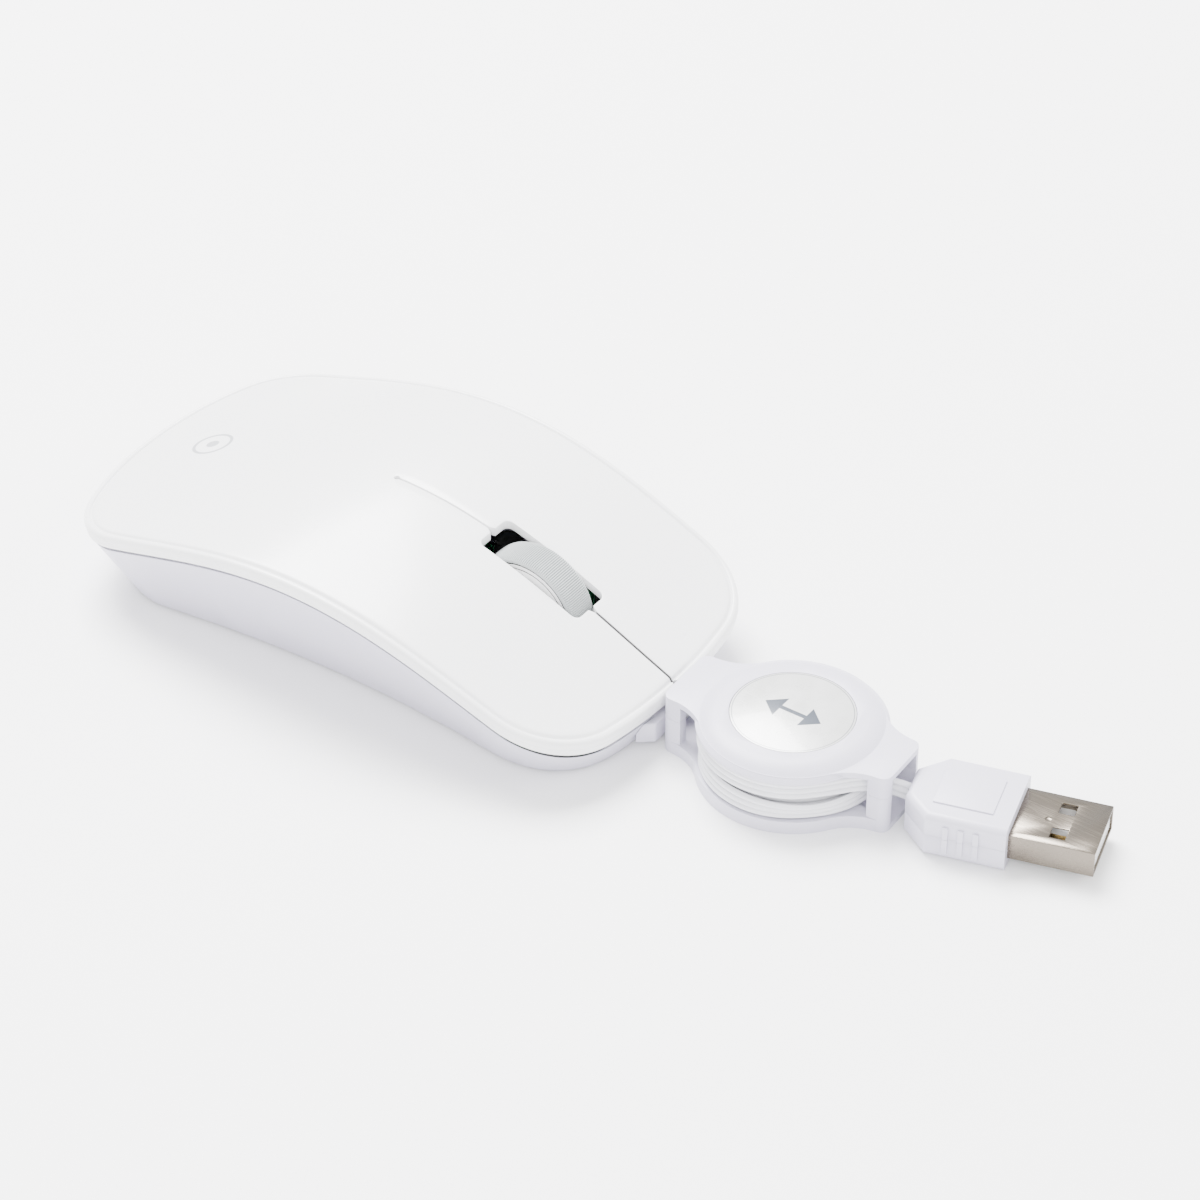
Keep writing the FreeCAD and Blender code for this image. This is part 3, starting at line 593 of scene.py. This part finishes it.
def ribbed_tyre():
    """A rubber tyre with fine ribs right across it."""
    ribs = 168
    rings = []
    profile = ((-2.7, 8.95, 0), (-2.9, 9.05, 0), (-2.9, 9.3, 0.02), (-2.78, 9.62, 0.16),
               (-2.5, 9.84, 0.22), (-2.1, 9.95, 0.22), (-1.2, 10.0, 0.22), (1.2, 10.0, 0.22),
               (2.1, 9.95, 0.22), (2.5, 9.84, 0.22), (2.78, 9.62, 0.16), (2.9, 9.3, 0.02),
               (2.9, 9.05, 0), (2.7, 8.95, 0))
    for x, radius, depth in profile:
        ring = []
        for k in range(ribs * 4):
            a = 2 * math.pi * (k + (0.22, 0.0, 0.0, -0.22)[k % 4]) / (ribs * 4)
            r = radius - (depth if k % 4 in (2, 3) else 0.0)
            ring.append((x, wheel_y + r * math.cos(a), wheel_z + r * math.sin(a)))
        rings.append(ring)
    rings.append(rings[0])
    piece = skin_over("tyre", rings)
    smooth(piece, 40)
    return piece


def wheel_rim():
    """The wheel's white middle: a disc with turned grooves in both faces, and its axle."""
    piece = tube("wheel_rim", (0, wheel_y, wheel_z), 8.98, 5.5, "X", 96)
    for side in (-1, 1):
        steps = ((0.02, -0.6), (0.16, 0.0), (0.02, 0.68), (0.06, 0.06), (0.5, 0.0),
                 (0.03, -0.45), (0.12, 0.0), (0.03, 0.45), (0.08, 0.06), (1.4, 0.10),
                 (2.2, 0.05), (0.4, -0.5), (2.0, 0.0))
        edit(piece, "DESELECT")
        bpy.ops.mesh.select_mode(type="FACE")
        done()
        cap = max(piece.data.polygons, key=lambda f: f.center.x * side + f.area)
        for face in piece.data.polygons:
            face.select = face.index == cap.index
        bpy.ops.object.mode_set(mode="EDIT")
        for inset, rise in steps:
            bpy.ops.mesh.inset(thickness=inset * MM, depth=rise * MM)
        done()
    smooth(piece, 35)
    axle = tube("axle", (0, wheel_y, wheel_z), 1.0, 11.0, "X", 32)
    soft_edges(axle, 0.2)
    smooth(axle)
    return join(piece, axle)


def in_rim_groove(middle, normal):
    """The grooves near the tyre, in both faces of the wheel's middle, which take the near-black
    painted shadow.
    """
    reach = math.hypot(middle.y - wheel_y, middle.z - wheel_z)
    sunk = abs(middle.x) < 2.72 and (reach > 8.0 or abs(normal.x) < 0.5)
    return sunk and reach > 7.2


tyre = ribbed_tyre()
rim = wheel_rim()
second_slot(rim, in_rim_groove)

# ---- Shells, reel and plug, rounded from the CAD shapes ----

lower_case = from_cad("bottom_shell", "lower_case", 0.3, 2, 40)
strain_relief = from_cad("cable_outlet", "strain_relief", 0.9, 4, 35)


def button_share(y):
    """Nought behind the line where the buttons bend, one at the front edge."""
    return max(0.0, flex_line_y - y) / (flex_line_y + half_length)


def gap_line(y):
    """Height of the outer lip of the lower case, under the cover's edge."""
    share = button_share(y)
    return seam_height(y) - 0.75 - 0.75 * share


def step_lip():
    """Steps the lower case's upper edge down outside, as a tongue and groove joint has."""
    outside, inside = -1.2, 1.35
    rings = []
    for inset, top in ((outside, False), (inside, False), (inside, True), (outside, True),
                       (outside, False)):
        rings.append([(x, y, seam_height(y) + 1.5 if top else gap_line(y))
                      for x, y in plan_ring(inset)])
    carve(lower_case, skin_over("lip_tool", rings))
    # A thin ring inside the gap, joined to the lower case; it takes the near-black painted
    # shadow, so that the gap reads dark.
    rings = []
    for inset, top in ((1.62, False), (1.62, True), (2.1, True), (2.1, False), (1.62, False)):
        rings.append([(x, y, seam_height(y) - 0.3 if top else gap_line(y) - 0.2)
                      for x, y in plan_ring(inset)])
    join(lower_case, skin_over("inner_lip", rings))


# Faces of the lower case above the gap line, which take the near-black painted shadow.
def in_the_gap(middle, normal):
    above = middle.z - gap_line(middle.y)
    return above > 0.1 or (above > -0.03 and abs(normal.z) < 0.9)


step_lip()
second_slot(lower_case, in_the_gap)
smooth(lower_case, 35)

reel_roof = from_cad("reel_top_shell", "reel_roof", 0.5, 3, 32)
reel_floor = from_cad("reel_bottom_shell", "reel_floor", 0.35, 3, 32)
boot = from_cad("plug_boot", "moulded_boot", 0.55, 4, 30)
metal_shell = from_cad("plug_shell", "metal_shell", 0.12, 2, 40)
shell_low, shell_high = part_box("plug_shell")
boot_low, boot_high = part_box("plug_boot")
dimple = tube("dimple", ((shell_low[0] + shell_high[0]) / 2 / MM,
                         boot_low[1] / MM - 2.6, shell_high[2] / MM), 0.55, 0.3)
soft_edges(dimple, 0.12)
carve(metal_shell, dimple)
smooth(metal_shell, 35)


def parting_line(piece, height):
    """A fine groove round a moulding where the two halves of its mould met."""
    edit(piece)
    bpy.ops.mesh.bisect(plane_co=(0.0, 0.0, height), plane_no=(0.0, 0.0, 1.0))
    bpy.ops.mesh.bevel(offset=0.09 * MM, segments=2, affect="EDGES")
    bpy.ops.mesh.select_mode(type="VERT")
    bpy.ops.mesh.select_less()
    bpy.ops.transform.shrink_fatten(value=-0.1 * MM)
    done()


parting_line(boot, (boot_low[2] + boot_high[2]) / 2)


def reel_label():
    """A thin round label with a rolled edge."""
    label_height, label_radius, label_thickness = 11.68, 9.9, 0.45
    piece = tube("round_label", (reel_centre.x, reel_centre.y, label_height), label_radius,
                 label_thickness, "Z", 128)
    soft_edges(piece, 0.1, 2)
    smooth(piece, 35)
    return piece


label = reel_label()

# ---- Node groups that the materials share ----


def group(name, inputs, outputs):
    tree = bpy.data.node_groups.new(name, "ShaderNodeTree")
    for label_text, kind, value in inputs:
        socket = tree.interface.new_socket(name=label_text, in_out="INPUT", socket_type=kind)
        socket.default_value = value
    for label_text, kind in outputs:
        tree.interface.new_socket(name=label_text, in_out="OUTPUT", socket_type=kind)
    return tree, tree.nodes.new("NodeGroupInput"), tree.nodes.new("NodeGroupOutput")


def mul(tree, a, b, operation="MULTIPLY", clamp=False):
    node = tree.nodes.new("ShaderNodeMath")
    node.operation = operation
    node.use_clamp = clamp
    for slot_index, value in enumerate((a, b)):
        if isinstance(value, (int, float)):
            node.inputs[slot_index].default_value = value
        elif value is not None:
            tree.links.new(value, node.inputs[slot_index])
    return node.outputs[0]


def noise(tree, vector, scale, detail=4.0, rough=0.55):
    node = tree.nodes.new("ShaderNodeTexNoise")
    node.inputs["Detail"].default_value = detail
    node.inputs["Roughness"].default_value = rough
    if isinstance(scale, (int, float)):
        node.inputs["Scale"].default_value = scale
    else:
        tree.links.new(scale, node.inputs["Scale"])
    tree.links.new(vector, node.inputs["Vector"])
    return node.outputs["Fac"]


def remap(tree, value, low, high, to_low, to_high):
    node = tree.nodes.new("ShaderNodeMapRange")
    node.inputs["From Min"].default_value = low
    node.inputs["From Max"].default_value = high
    for socket, limit in (("To Min", to_low), ("To Max", to_high)):
        if isinstance(limit, (int, float)):
            node.inputs[socket].default_value = limit
        else:
            tree.links.new(limit, node.inputs[socket])
    tree.links.new(value, node.inputs["Value"])
    return node.outputs["Result"]


def blend_colour(tree, mask, a, b):
    node = tree.nodes.new("ShaderNodeMix")
    node.data_type = "RGBA"
    tree.links.new(mask, node.inputs["Factor"])
    for socket, value in ((node.inputs[6], a), (node.inputs[7], b)):
        if isinstance(value, tuple):
            socket.default_value = value
        else:
            tree.links.new(value, socket)
    return node.outputs[2]


def grain_group():
    """Fine moulded grain over faint flow marks, as a height and a slow patchiness."""
    tree, given, out = group("moulded_grain", [
        ("Vector", "NodeSocketVector", (0, 0, 0)), ("Grain Scale", "NodeSocketFloat", 3000.0),
        ("Patch Scale", "NodeSocketFloat", 60.0)],
        [("Height", "NodeSocketFloat"), ("Patches", "NodeSocketFloat")])
    fine = noise(tree, given.outputs["Vector"], given.outputs["Grain Scale"], 3.0)
    flow = noise(tree, given.outputs["Vector"], given.outputs["Patch Scale"], 5.0)
    height = mul(tree, mul(tree, fine, 0.8), mul(tree, flow, 0.6), "ADD")
    tree.links.new(height, out.inputs["Height"])
    tree.links.new(remap(tree, flow, 0.3, 0.7, 0.0, 1.0), out.inputs["Patches"])
    return tree


def edge_wear_and_hollow_shade_group():
    """Where edges stand out, for lighter worn edges, and hollows, for painted shade that
    darkens them.
    """
    tree, given, out = group("edge_wear_and_hollow_shade", [
        ("Vector", "NodeSocketVector", (0, 0, 0)), ("Sharpness", "NodeSocketFloat", 1.0)],
        [("Edges", "NodeSocketFloat"), ("Shaded Hollows", "NodeSocketFloat")])
    shape = tree.nodes.new("ShaderNodeNewGeometry").outputs["Pointiness"]
    broken = noise(tree, given.outputs["Vector"], 900.0, 6.0)
    edges = remap(tree, shape, 0.505, 0.56, 0.0, given.outputs["Sharpness"])
    tree.links.new(mul(tree, edges, broken, clamp=True), out.inputs["Edges"])
    # Hollow mask from pointiness: painted shade in creases and recesses.
    tree.links.new(remap(tree, shape, 0.495, 0.43, 0.0, 1.0), out.inputs["Shaded Hollows"])
    return tree


def scuff_group():
    """Sparse hairline scuffs, stretched along one way."""
    tree, given, out = group("hairline_scuffs", [
        ("Vector", "NodeSocketVector", (0, 0, 0)), ("Amount", "NodeSocketFloat", 0.5)],
        [("Scuffs", "NodeSocketFloat")])
    turn = tree.nodes.new("ShaderNodeMapping")
    turn.inputs["Rotation"].default_value = (0.2, 0.1, 0.9)
    turn.inputs["Scale"].default_value = (1400.0, 90.0, 500.0)
    tree.links.new(given.outputs["Vector"], turn.inputs["Vector"])
    lines = noise(tree, turn.outputs["Vector"], 1.0, 2.0)
    thin = remap(tree, lines, 0.66, 0.74, 0.0, 1.0)
    tree.links.new(mul(tree, thin, given.outputs["Amount"], clamp=True), out.inputs["Scuffs"])
    return tree


grain = grain_group()
wear_and_shade = edge_wear_and_hollow_shade_group()
scuffs = scuff_group()


class Finish:
    """A material with its shader and the nodes that every finish starts from."""

    def __init__(self, name):
        self.material = bpy.data.materials.new(name)
        self.material.use_nodes = True
        self.tree = self.material.node_tree
        self.shader = self.tree.nodes["Principled BSDF"]
        self.place = self.tree.nodes.new("ShaderNodeTexCoord").outputs["Object"]

    def use(self, tree, **values):
        node = self.tree.nodes.new("ShaderNodeGroup")
        node.node_tree = tree
        self.tree.links.new(self.place, node.inputs["Vector"])
        for key, value in values.items():
            node.inputs[key.replace("_", " ")].default_value = value
        return node

    def set(self, **values):
        for key, value in values.items():
            self.shader.inputs[key.replace("_", " ")].default_value = value

    def link(self, value, socket):
        self.tree.links.new(value, self.shader.inputs[socket])

    def bump(self, height, strength, distance):
        node = self.tree.nodes.new("ShaderNodeBump")
        node.inputs["Strength"].default_value = strength
        node.inputs["Distance"].default_value = distance
        self.tree.links.new(height, node.inputs["Height"])
        self.link(node.outputs["Normal"], "Normal")


def rgb(r, g, b):
    return (r, g, b, 1.0)


def plastic(name, base, deep, rough=(0.3, 0.4), grain_scale=3000.0, patch_scale=60.0,
            relief=0.03, edge=None, edge_amount=0.5, hollow_shade=0.25, scuff=0.15, **settings):
    """A moulded plastic: two close tints, grain, lighter worn edges and hollows darkened with
    painted shade.
    """
    finish = Finish(name)
    tree = finish.tree
    skin = finish.use(grain, Grain_Scale=grain_scale, Patch_Scale=patch_scale)
    worn_and_shaded = finish.use(wear_and_shade, Sharpness=edge_amount)
    lines = finish.use(scuffs, Amount=scuff)
    colour = blend_colour(tree, skin.outputs["Patches"], base, deep)
    light = edge or rgb(*[min(1.0, c * 1.06 + 0.01) for c in base[:3]])
    colour = blend_colour(tree, worn_and_shaded.outputs["Edges"], colour, light)
    # Painted shade: hollows blend towards a darker copy of the base colour.
    shaded_hollows = mul(tree, worn_and_shaded.outputs["Shaded Hollows"], hollow_shade)
    shade = rgb(*[c * 0.72 for c in base[:3]])
    colour = blend_colour(tree, shaded_hollows, colour, shade)
    finish.link(colour, "Base Color")
    rough_value = remap(tree, skin.outputs["Patches"], 0.0, 1.0, rough[0], rough[1])
    rough_value = mul(tree, rough_value, mul(tree, lines.outputs["Scuffs"], 0.25), "ADD")
    finish.link(rough_value, "Roughness")
    height = mul(tree, skin.outputs["Height"], mul(tree, lines.outputs["Scuffs"], 0.2),
                 "SUBTRACT")
    finish.bump(height, relief * 10, 0.00002)
    finish.set(**settings)
    return finish, colour


def satin_cover(name):
    return plastic(name, rgb(0.83, 0.832, 0.84), rgb(0.815, 0.818, 0.83), (0.24, 0.31),
                   2600.0, 45.0, 0.02, hollow_shade=0.12, scuff=0.12,
                   Coat_Weight=0.25, Coat_Roughness=0.18)


finishes = {}
finishes["cover_white"], _ = satin_cover("satin_white_cover")
finishes["shell_lilac"], _ = plastic(
    "lilac_white_shell", rgb(0.56, 0.545, 0.635), rgb(0.54, 0.525, 0.62), (0.34, 0.44),
    3200.0, 55.0, 0.035, hollow_shade=0.3, Coat_Weight=0.05, Coat_Roughness=0.3)
finishes["tyre_grey"], _ = plastic(
    "soft_grey_rubber", rgb(0.40, 0.425, 0.43), rgb(0.36, 0.385, 0.39), (0.55, 0.7),
    5200.0, 160.0, 0.05, edge=rgb(0.5, 0.52, 0.52), edge_amount=0.7, hollow_shade=0.55, scuff=0.0)
finishes["hub_white"], _ = plastic(
    "pearl_white_rim", rgb(0.92, 0.92, 0.92), rgb(0.89, 0.89, 0.90), (0.18, 0.26),
    2600.0, 120.0, 0.01, hollow_shade=0.8, Coat_Weight=0.4, Coat_Roughness=0.1)
finishes["inner_plastic"], _ = plastic(
    "black_working_plastic", rgb(0.03, 0.03, 0.033), rgb(0.02, 0.02, 0.022), (0.42, 0.55),
    3500.0, 90.0, 0.05, edge=rgb(0.09, 0.09, 0.09), scuff=0.3)
finishes["chip_black"], _ = plastic(
    "chip_moulding", rgb(0.025, 0.026, 0.028), rgb(0.035, 0.035, 0.036), (0.55, 0.68),
    6000.0, 200.0, 0.08, edge=rgb(0.1, 0.1, 0.1), scuff=0.1)
finishes["foot_dark"], _ = plastic(
    "dark_glide", rgb(0.055, 0.056, 0.06), rgb(0.075, 0.076, 0.08), (0.38, 0.5),
    4200.0, 140.0, 0.04, edge=rgb(0.16, 0.16, 0.165), edge_amount=0.8, scuff=0.8)
finishes["cable_grey"], _ = plastic(
    "soft_white_cable", rgb(0.68, 0.68, 0.715), rgb(0.65, 0.65, 0.69), (0.36, 0.46),
    2800.0, 140.0, 0.03, hollow_shade=0.55, scuff=0.05, Coat_Weight=0.08, Coat_Roughness=0.3)


def satin_metal(name, base, deep, rough, brushed, relief, hollow_shade=0.3):
    """A drawn or plated metal with fine lines, duller patches and painted shade darkening its
    hollows.
    """
    finish = Finish(name)
    tree = finish.tree
    skin = finish.use(grain, Grain_Scale=1800.0, Patch_Scale=110.0)
    worn_and_shaded = finish.use(wear_and_shade, Sharpness=0.6)
    turn = tree.nodes.new("ShaderNodeMapping")
    turn.inputs["Rotation"].default_value = (0.0, 0.0, -0.2775)
    turn.inputs["Scale"].default_value = brushed
    tree.links.new(finish.place, turn.inputs["Vector"])
    lines = noise(tree, turn.outputs["Vector"], 1.0, 3.0)
    colour = blend_colour(tree, skin.outputs["Patches"], base, deep)
    # Painted shade: hollows blend towards a darker copy of the base colour.
    colour = blend_colour(tree, mul(tree, worn_and_shaded.outputs["Shaded Hollows"], hollow_shade), colour,
                          rgb(*[c * 0.4 for c in base[:3]]))
    finish.link(colour, "Base Color")
    finish.link(remap(tree, lines, 0.3, 0.7, rough[0], rough[1]), "Roughness")
    finish.set(Metallic=1.0)
    finish.bump(lines, relief * 10, 0.00001)
    return finish


finishes["plug_metal"] = satin_metal("nickel_plate", rgb(0.185, 0.16, 0.132),
                                     rgb(0.16, 0.14, 0.118), (0.2, 0.32),
                                     (2500.0, 160.0, 2500.0), 0.003, hollow_shade=0.12)
finishes["steel"] = satin_metal("bright_steel", rgb(0.55, 0.56, 0.58), rgb(0.47, 0.48, 0.5),
                                (0.22, 0.38), (900.0, 900.0, 2600.0), 0.02)
finishes["contact_gold"] = satin_metal("gold_flash", rgb(0.83, 0.61, 0.27),
                                       rgb(0.74, 0.52, 0.22), (0.16, 0.3),
                                       (2500.0, 200.0, 2500.0), 0.01)


def circuit_finish():
    """Green solder mask with faint copper runs under it."""
    finish = Finish("green_board")
    tree = finish.tree
    skin = finish.use(grain, Grain_Scale=4000.0, Patch_Scale=80.0)
    runs = tree.nodes.new("ShaderNodeTexBrick")
    runs.inputs["Scale"].default_value = 260.0
    runs.inputs["Mortar Size"].default_value = 0.035
    runs.inputs["Color1"].default_value = rgb(0.02, 0.20, 0.075)
    runs.inputs["Color2"].default_value = rgb(0.025, 0.23, 0.085)
    runs.inputs["Mortar"].default_value = rgb(0.09, 0.36, 0.15)
    tree.links.new(finish.place, runs.inputs["Vector"])
    colour = blend_colour(tree, skin.outputs["Patches"], runs.outputs["Color"],
                          rgb(0.015, 0.16, 0.06))
    finish.link(colour, "Base Color")
    finish.link(remap(tree, skin.outputs["Height"], 0.2, 1.0, 0.22, 0.4), "Roughness")
    finish.bump(runs.outputs["Fac"], 0.3, 0.00003)
    finish.set(Coat_Weight=0.3, Coat_Roughness=0.15)
    return finish


def lens_finish(name, tint, rough):
    """Clear moulded plastic, a little uneven."""
    finish = Finish(name)
    tree = finish.tree
    skin = finish.use(grain, Grain_Scale=1500.0, Patch_Scale=90.0)
    finish.link(blend_colour(tree, skin.outputs["Patches"], tint,
                             rgb(*[c * 0.9 for c in tint[:3]])), "Base Color")
    finish.link(remap(tree, skin.outputs["Patches"], 0.0, 1.0, rough[0], rough[1]), "Roughness")
    finish.set(Transmission_Weight=0.85, IOR=1.49)
    finish.bump(skin.outputs["Height"], 0.1, 0.00002)
    return finish


finishes["board_green"] = circuit_finish()
finishes["clear_plastic"] = lens_finish("clear_lens", rgb(0.93, 0.94, 0.95), (0.03, 0.1))
finishes["lamp_red"] = lens_finish("red_lamp", rgb(0.85, 0.06, 0.04), (0.08, 0.16))


def ring_distance(finish, centre):
    """Metres from an upright line through a place in the plan, then along x and y."""
    tree = finish.tree
    shift = tree.nodes.new("ShaderNodeMapping")
    shift.inputs["Location"].default_value = (-centre[0] * MM, -centre[1] * MM, 0.0)
    shift.inputs["Scale"].default_value = (1.0, 1.0, 0.0)
    tree.links.new(finish.place, shift.inputs["Vector"])
    reach = tree.nodes.new("ShaderNodeVectorMath")
    reach.operation = "LENGTH"
    tree.links.new(shift.outputs["Vector"], reach.inputs[0])
    parts = tree.nodes.new("ShaderNodeSeparateXYZ")
    tree.links.new(shift.outputs["Vector"], parts.inputs[0])
    return reach.outputs["Value"], parts.outputs["X"], parts.outputs["Y"]


def band(tree, value, middle_mm, half_mm, soft_mm=0.04):
    """One inside a band of a distance, nought outside, with a soft edge."""
    off = mul(tree, mul(tree, value, -middle_mm * MM, "ADD"), None, "ABSOLUTE")
    return remap(tree, off, (half_mm + soft_mm) * MM, (half_mm - soft_mm) * MM, 0.0, 1.0)


def below(tree, value, limit_mm, soft_mm=0.04):
    return remap(tree, value, (limit_mm + soft_mm) * MM, (limit_mm - soft_mm) * MM, 0.0, 1.0)


def label_finish():
    """Pearl label with a fine line at its edge and a pair of plain pull arrows."""
    finish = Finish("pearl_label")
    tree = finish.tree
    skin = finish.use(grain, Grain_Scale=5200.0, Patch_Scale=260.0)
    lines = finish.use(scuffs, Amount=0.4)
    reach, x, y = ring_distance(finish, (reel_centre.x, reel_centre.y))
    sparkle = noise(tree, finish.place, 9000.0, 1.0)
    pearl = blend_colour(tree, skin.outputs["Patches"], rgb(0.56, 0.565, 0.555),
                         rgb(0.62, 0.62, 0.62))
    pearl = blend_colour(tree, remap(tree, sparkle, 0.6, 0.8, 0.0, 0.6), pearl,
                         rgb(0.9, 0.9, 0.9))
    line = band(tree, reach, 9.55, 0.07)
    colour = blend_colour(tree, line, pearl, rgb(0.2, 0.21, 0.23))
    side = mul(tree, x, None, "ABSOLUTE")
    along = mul(tree, y, None, "ABSOLUTE")
    taper = mul(tree, mul(tree, along, -2.2 * MM, "ADD"), 0.85)
    inside = below(tree, mul(tree, side, taper, "ADD"), 2.5)
    start = remap(tree, along, 2.2 * MM, 2.28 * MM, 0.0, 1.0)
    arrows = mul(tree, inside, start)
    stem = mul(tree, below(tree, side, 0.42), below(tree, along, 2.3))
    mark = mul(tree, arrows, stem, "MAXIMUM")
    colour = blend_colour(tree, mark, colour, rgb(0.045, 0.055, 0.075))
    finish.link(colour, "Base Color")
    rough = remap(tree, skin.outputs["Patches"], 0.0, 1.0, 0.24, 0.34)
    finish.link(mul(tree, rough, mul(tree, lines.outputs["Scuffs"], 0.2), "ADD"), "Roughness")
    finish.link(remap(tree, sparkle, 0.5, 0.8, 0.15, 0.5), "Metallic")
    finish.bump(skin.outputs["Height"], 0.15, 0.00001)
    finish.set(Coat_Weight=0.5, Coat_Roughness=0.08)
    return finish


def paper_finish():
    """A blank rating label: matt film with a fine printed border."""
    finish = Finish("blank_label")
    tree = finish.tree
    skin = finish.use(grain, Grain_Scale=7000.0, Patch_Scale=150.0)
    worn_and_shaded = finish.use(wear_and_shade, Sharpness=0.6)
    colour = blend_colour(tree, skin.outputs["Patches"], rgb(0.72, 0.725, 0.73),
                          rgb(0.69, 0.695, 0.70))
    _, x, y = ring_distance(finish, rating_label_place)
    edge_x = band(tree, mul(tree, x, None, "ABSOLUTE"), 12.0, 0.1)
    edge_y = band(tree, mul(tree, y, None, "ABSOLUTE"), 4.1, 0.1)
    inner_x = below(tree, mul(tree, x, None, "ABSOLUTE"), 12.1)
    inner_y = below(tree, mul(tree, y, None, "ABSOLUTE"), 4.2)
    frame_line = mul(tree, mul(tree, edge_x, inner_y), mul(tree, edge_y, inner_x), "MAXIMUM")
    colour = blend_colour(tree, frame_line, colour, rgb(0.3, 0.31, 0.33))
    colour = blend_colour(tree, worn_and_shaded.outputs["Edges"], colour, rgb(0.85, 0.85, 0.85))
    finish.link(colour, "Base Color")
    finish.link(remap(tree, skin.outputs["Height"], 0.2, 1.0, 0.45, 0.6), "Roughness")
    finish.bump(skin.outputs["Height"], 0.2, 0.00002)
    return finish


rating_label_place = (0.0, 19.0)
finishes["badge_pearl"] = label_finish()
finishes["label_paper"] = paper_finish()


def palm_finish():
    """The cover's finish with a faint plain ring mark on the palm."""
    finish, colour = satin_cover("satin_white_palm")
    tree = finish.tree
    reach, _, _ = ring_distance(finish, palm_mark_place)
    ring = band(tree, reach, 3.2, 0.28, 0.06)
    dot = below(tree, reach, 1.1, 0.06)
    mark = mul(tree, mul(tree, ring, dot, "MAXIMUM"), 0.75)
    finish.link(blend_colour(tree, mark, colour, rgb(0.22, 0.23, 0.26)), "Base Color")
    return finish


palm_mark_place = (0.0, 40.0)
palm_white = palm_finish()

# ---- Which finish each piece has, and the body for each attached piece ----


def dress(piece, slot_name, finish=None):
    chosen = [face.material_index for face in piece.data.polygons]
    piece.data.materials.clear()
    piece.data.materials.append((finish or finishes[slot_name]).material)
    piece.data.polygons.foreach_set("material_index", chosen)


cad_finishes = {
    "wheel_carriage": "inner_plastic", "carriage_pin": "steel", "carriage_spring": "steel",
    "circuit_board": "board_green", "left_switch": "chip_black", "right_switch": "chip_black",
    "middle_switch": "chip_black", "left_plunger": "hub_white", "right_plunger": "hub_white",
    "middle_plunger": "hub_white", "sensor_chip": "chip_black", "lens_plate": "clear_plastic",
    "lamp": "lamp_red", "light_emitter": "clear_plastic", "light_receiver": "chip_black",
    "capacitor": "chip_black", "cable_header": "hub_white", "inner_wires": "lamp_red",
    "case_screws": "steel", "front_foot": "foot_dark", "rear_foot": "foot_dark",
    "base_label": "label_paper", "reel_spool": "shell_lilac", "reel_spring": "steel",
    "ratchet_ball": "steel", "plug_tongue": "hub_white", "plug_contacts": "contact_gold",
}
for node_name, slot_name in cad_finishes.items():
    cad_piece = nodes[node_name]
    cad_piece.data.materials.clear()
    cad_piece.data.materials.append(finishes[slot_name].material)

for piece, slot_name in ((left_tongue, "cover_white"), (right_tongue, "cover_white"),
                         (tyre, "tyre_grey"), (rim, "hub_white"),
                         (lower_case, "shell_lilac"), (strain_relief, "shell_lilac"),
                         (reel_roof, "shell_lilac"), (reel_floor, "shell_lilac"),
                         (label, "badge_pearl"), (mouse_cable, "cable_grey"),
                         (plug_cable, "cable_grey"), (boot, "shell_lilac"),
                         (metal_shell, "plug_metal")):
    dress(piece, slot_name)
dress(palm, "cover_white", palm_white)
# Near-black painted shadow for the gap under the cover, the inner lip and the wheel rim's
# grooves.
shadow_gap, _ = plastic(
    "gap_and_groove_shadow_black", rgb(0.012, 0.012, 0.013), rgb(0.009, 0.009, 0.01), (0.7, 0.8),
    3500.0, 90.0, 0.03, scuff=0.0)
lower_case.data.materials.append(shadow_gap.material)
# The wheel rim's grooves take the same near-black painted shadow.
rim.data.materials.append(shadow_gap.material)
# Dark grey painted shade for the facing walls of the slit ahead of the wheel.
slit_shade, _ = plastic(
    "slit_wall_painted_shade", rgb(0.16, 0.16, 0.165), rgb(0.13, 0.13, 0.135), (0.6, 0.7),
    3500.0, 90.0, 0.03, scuff=0.0)
for tongue in (left_tongue, right_tongue):
    tongue.data.materials.append(slit_shade.material)

for piece in (palm, lower_case, strain_relief, reel_roof, reel_floor, label, mouse_cable,
              plug_cable, boot, metal_shell):
    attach(piece, "case")
for piece in (tyre, rim):
    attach(piece, "scroll_wheel")

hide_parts("palm_cover")
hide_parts("left_button")
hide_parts("right_button")
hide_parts("wheel_tyre")
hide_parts("wheel_hub")
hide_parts("reel_badge")
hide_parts("cord_mouse_lead", "cord_winding")
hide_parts("cord_plug_lead")

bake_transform(left_tongue)
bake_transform(right_tongue)

# ---- Floor and light ----

start_clean()
bpy.ops.mesh.primitive_plane_add(size=6.0, location=(0, 0, 0))
floor = settle(bpy.context.object, "floor")
floor_finish = Finish("pale_floor")
floor_skin = floor_finish.use(grain, Grain_Scale=900.0, Patch_Scale=2.0)
floor_finish.link(blend_colour(floor_finish.tree, floor_skin.outputs["Patches"],
                               rgb(0.93, 0.93, 0.935), rgb(0.92, 0.92, 0.925)), "Base Color")
floor_finish.set(Roughness=0.6)
floor.data.materials.append(floor_finish.material)

world = bpy.data.worlds.new("studio")
scene.world = world
world.use_nodes = True
world.node_tree.nodes["Background"].inputs["Color"].default_value = rgb(1.0, 1.0, 1.0)
world.node_tree.nodes["Background"].inputs["Strength"].default_value = 2.0


def soft_light(name, place, aim, size, power):
    data = bpy.data.lights.new(name, "AREA")
    data.shape = "RECTANGLE"
    data.size = size[0]
    data.size_y = size[1]
    data.energy = power
    lamp = bpy.data.objects.new(name, data)
    scene.collection.objects.link(lamp)
    lamp.location = place
    lamp.rotation_euler = (Vector(place) - Vector(aim)).to_track_quat("Z", "Y").to_euler()


soft_light("key", (0.35, 0.55, 1.1), (0.0, -0.02, 0.0), (0.8, 0.8), 85.0)
soft_light("fill", (-0.9, -0.5, 0.7), (0.0, -0.03, 0.0), (0.8, 0.8), 14.0)
soft_light("front", (0.6, -0.9, 0.6), (0.02, -0.06, 0.0), (0.7, 0.7), 12.0)
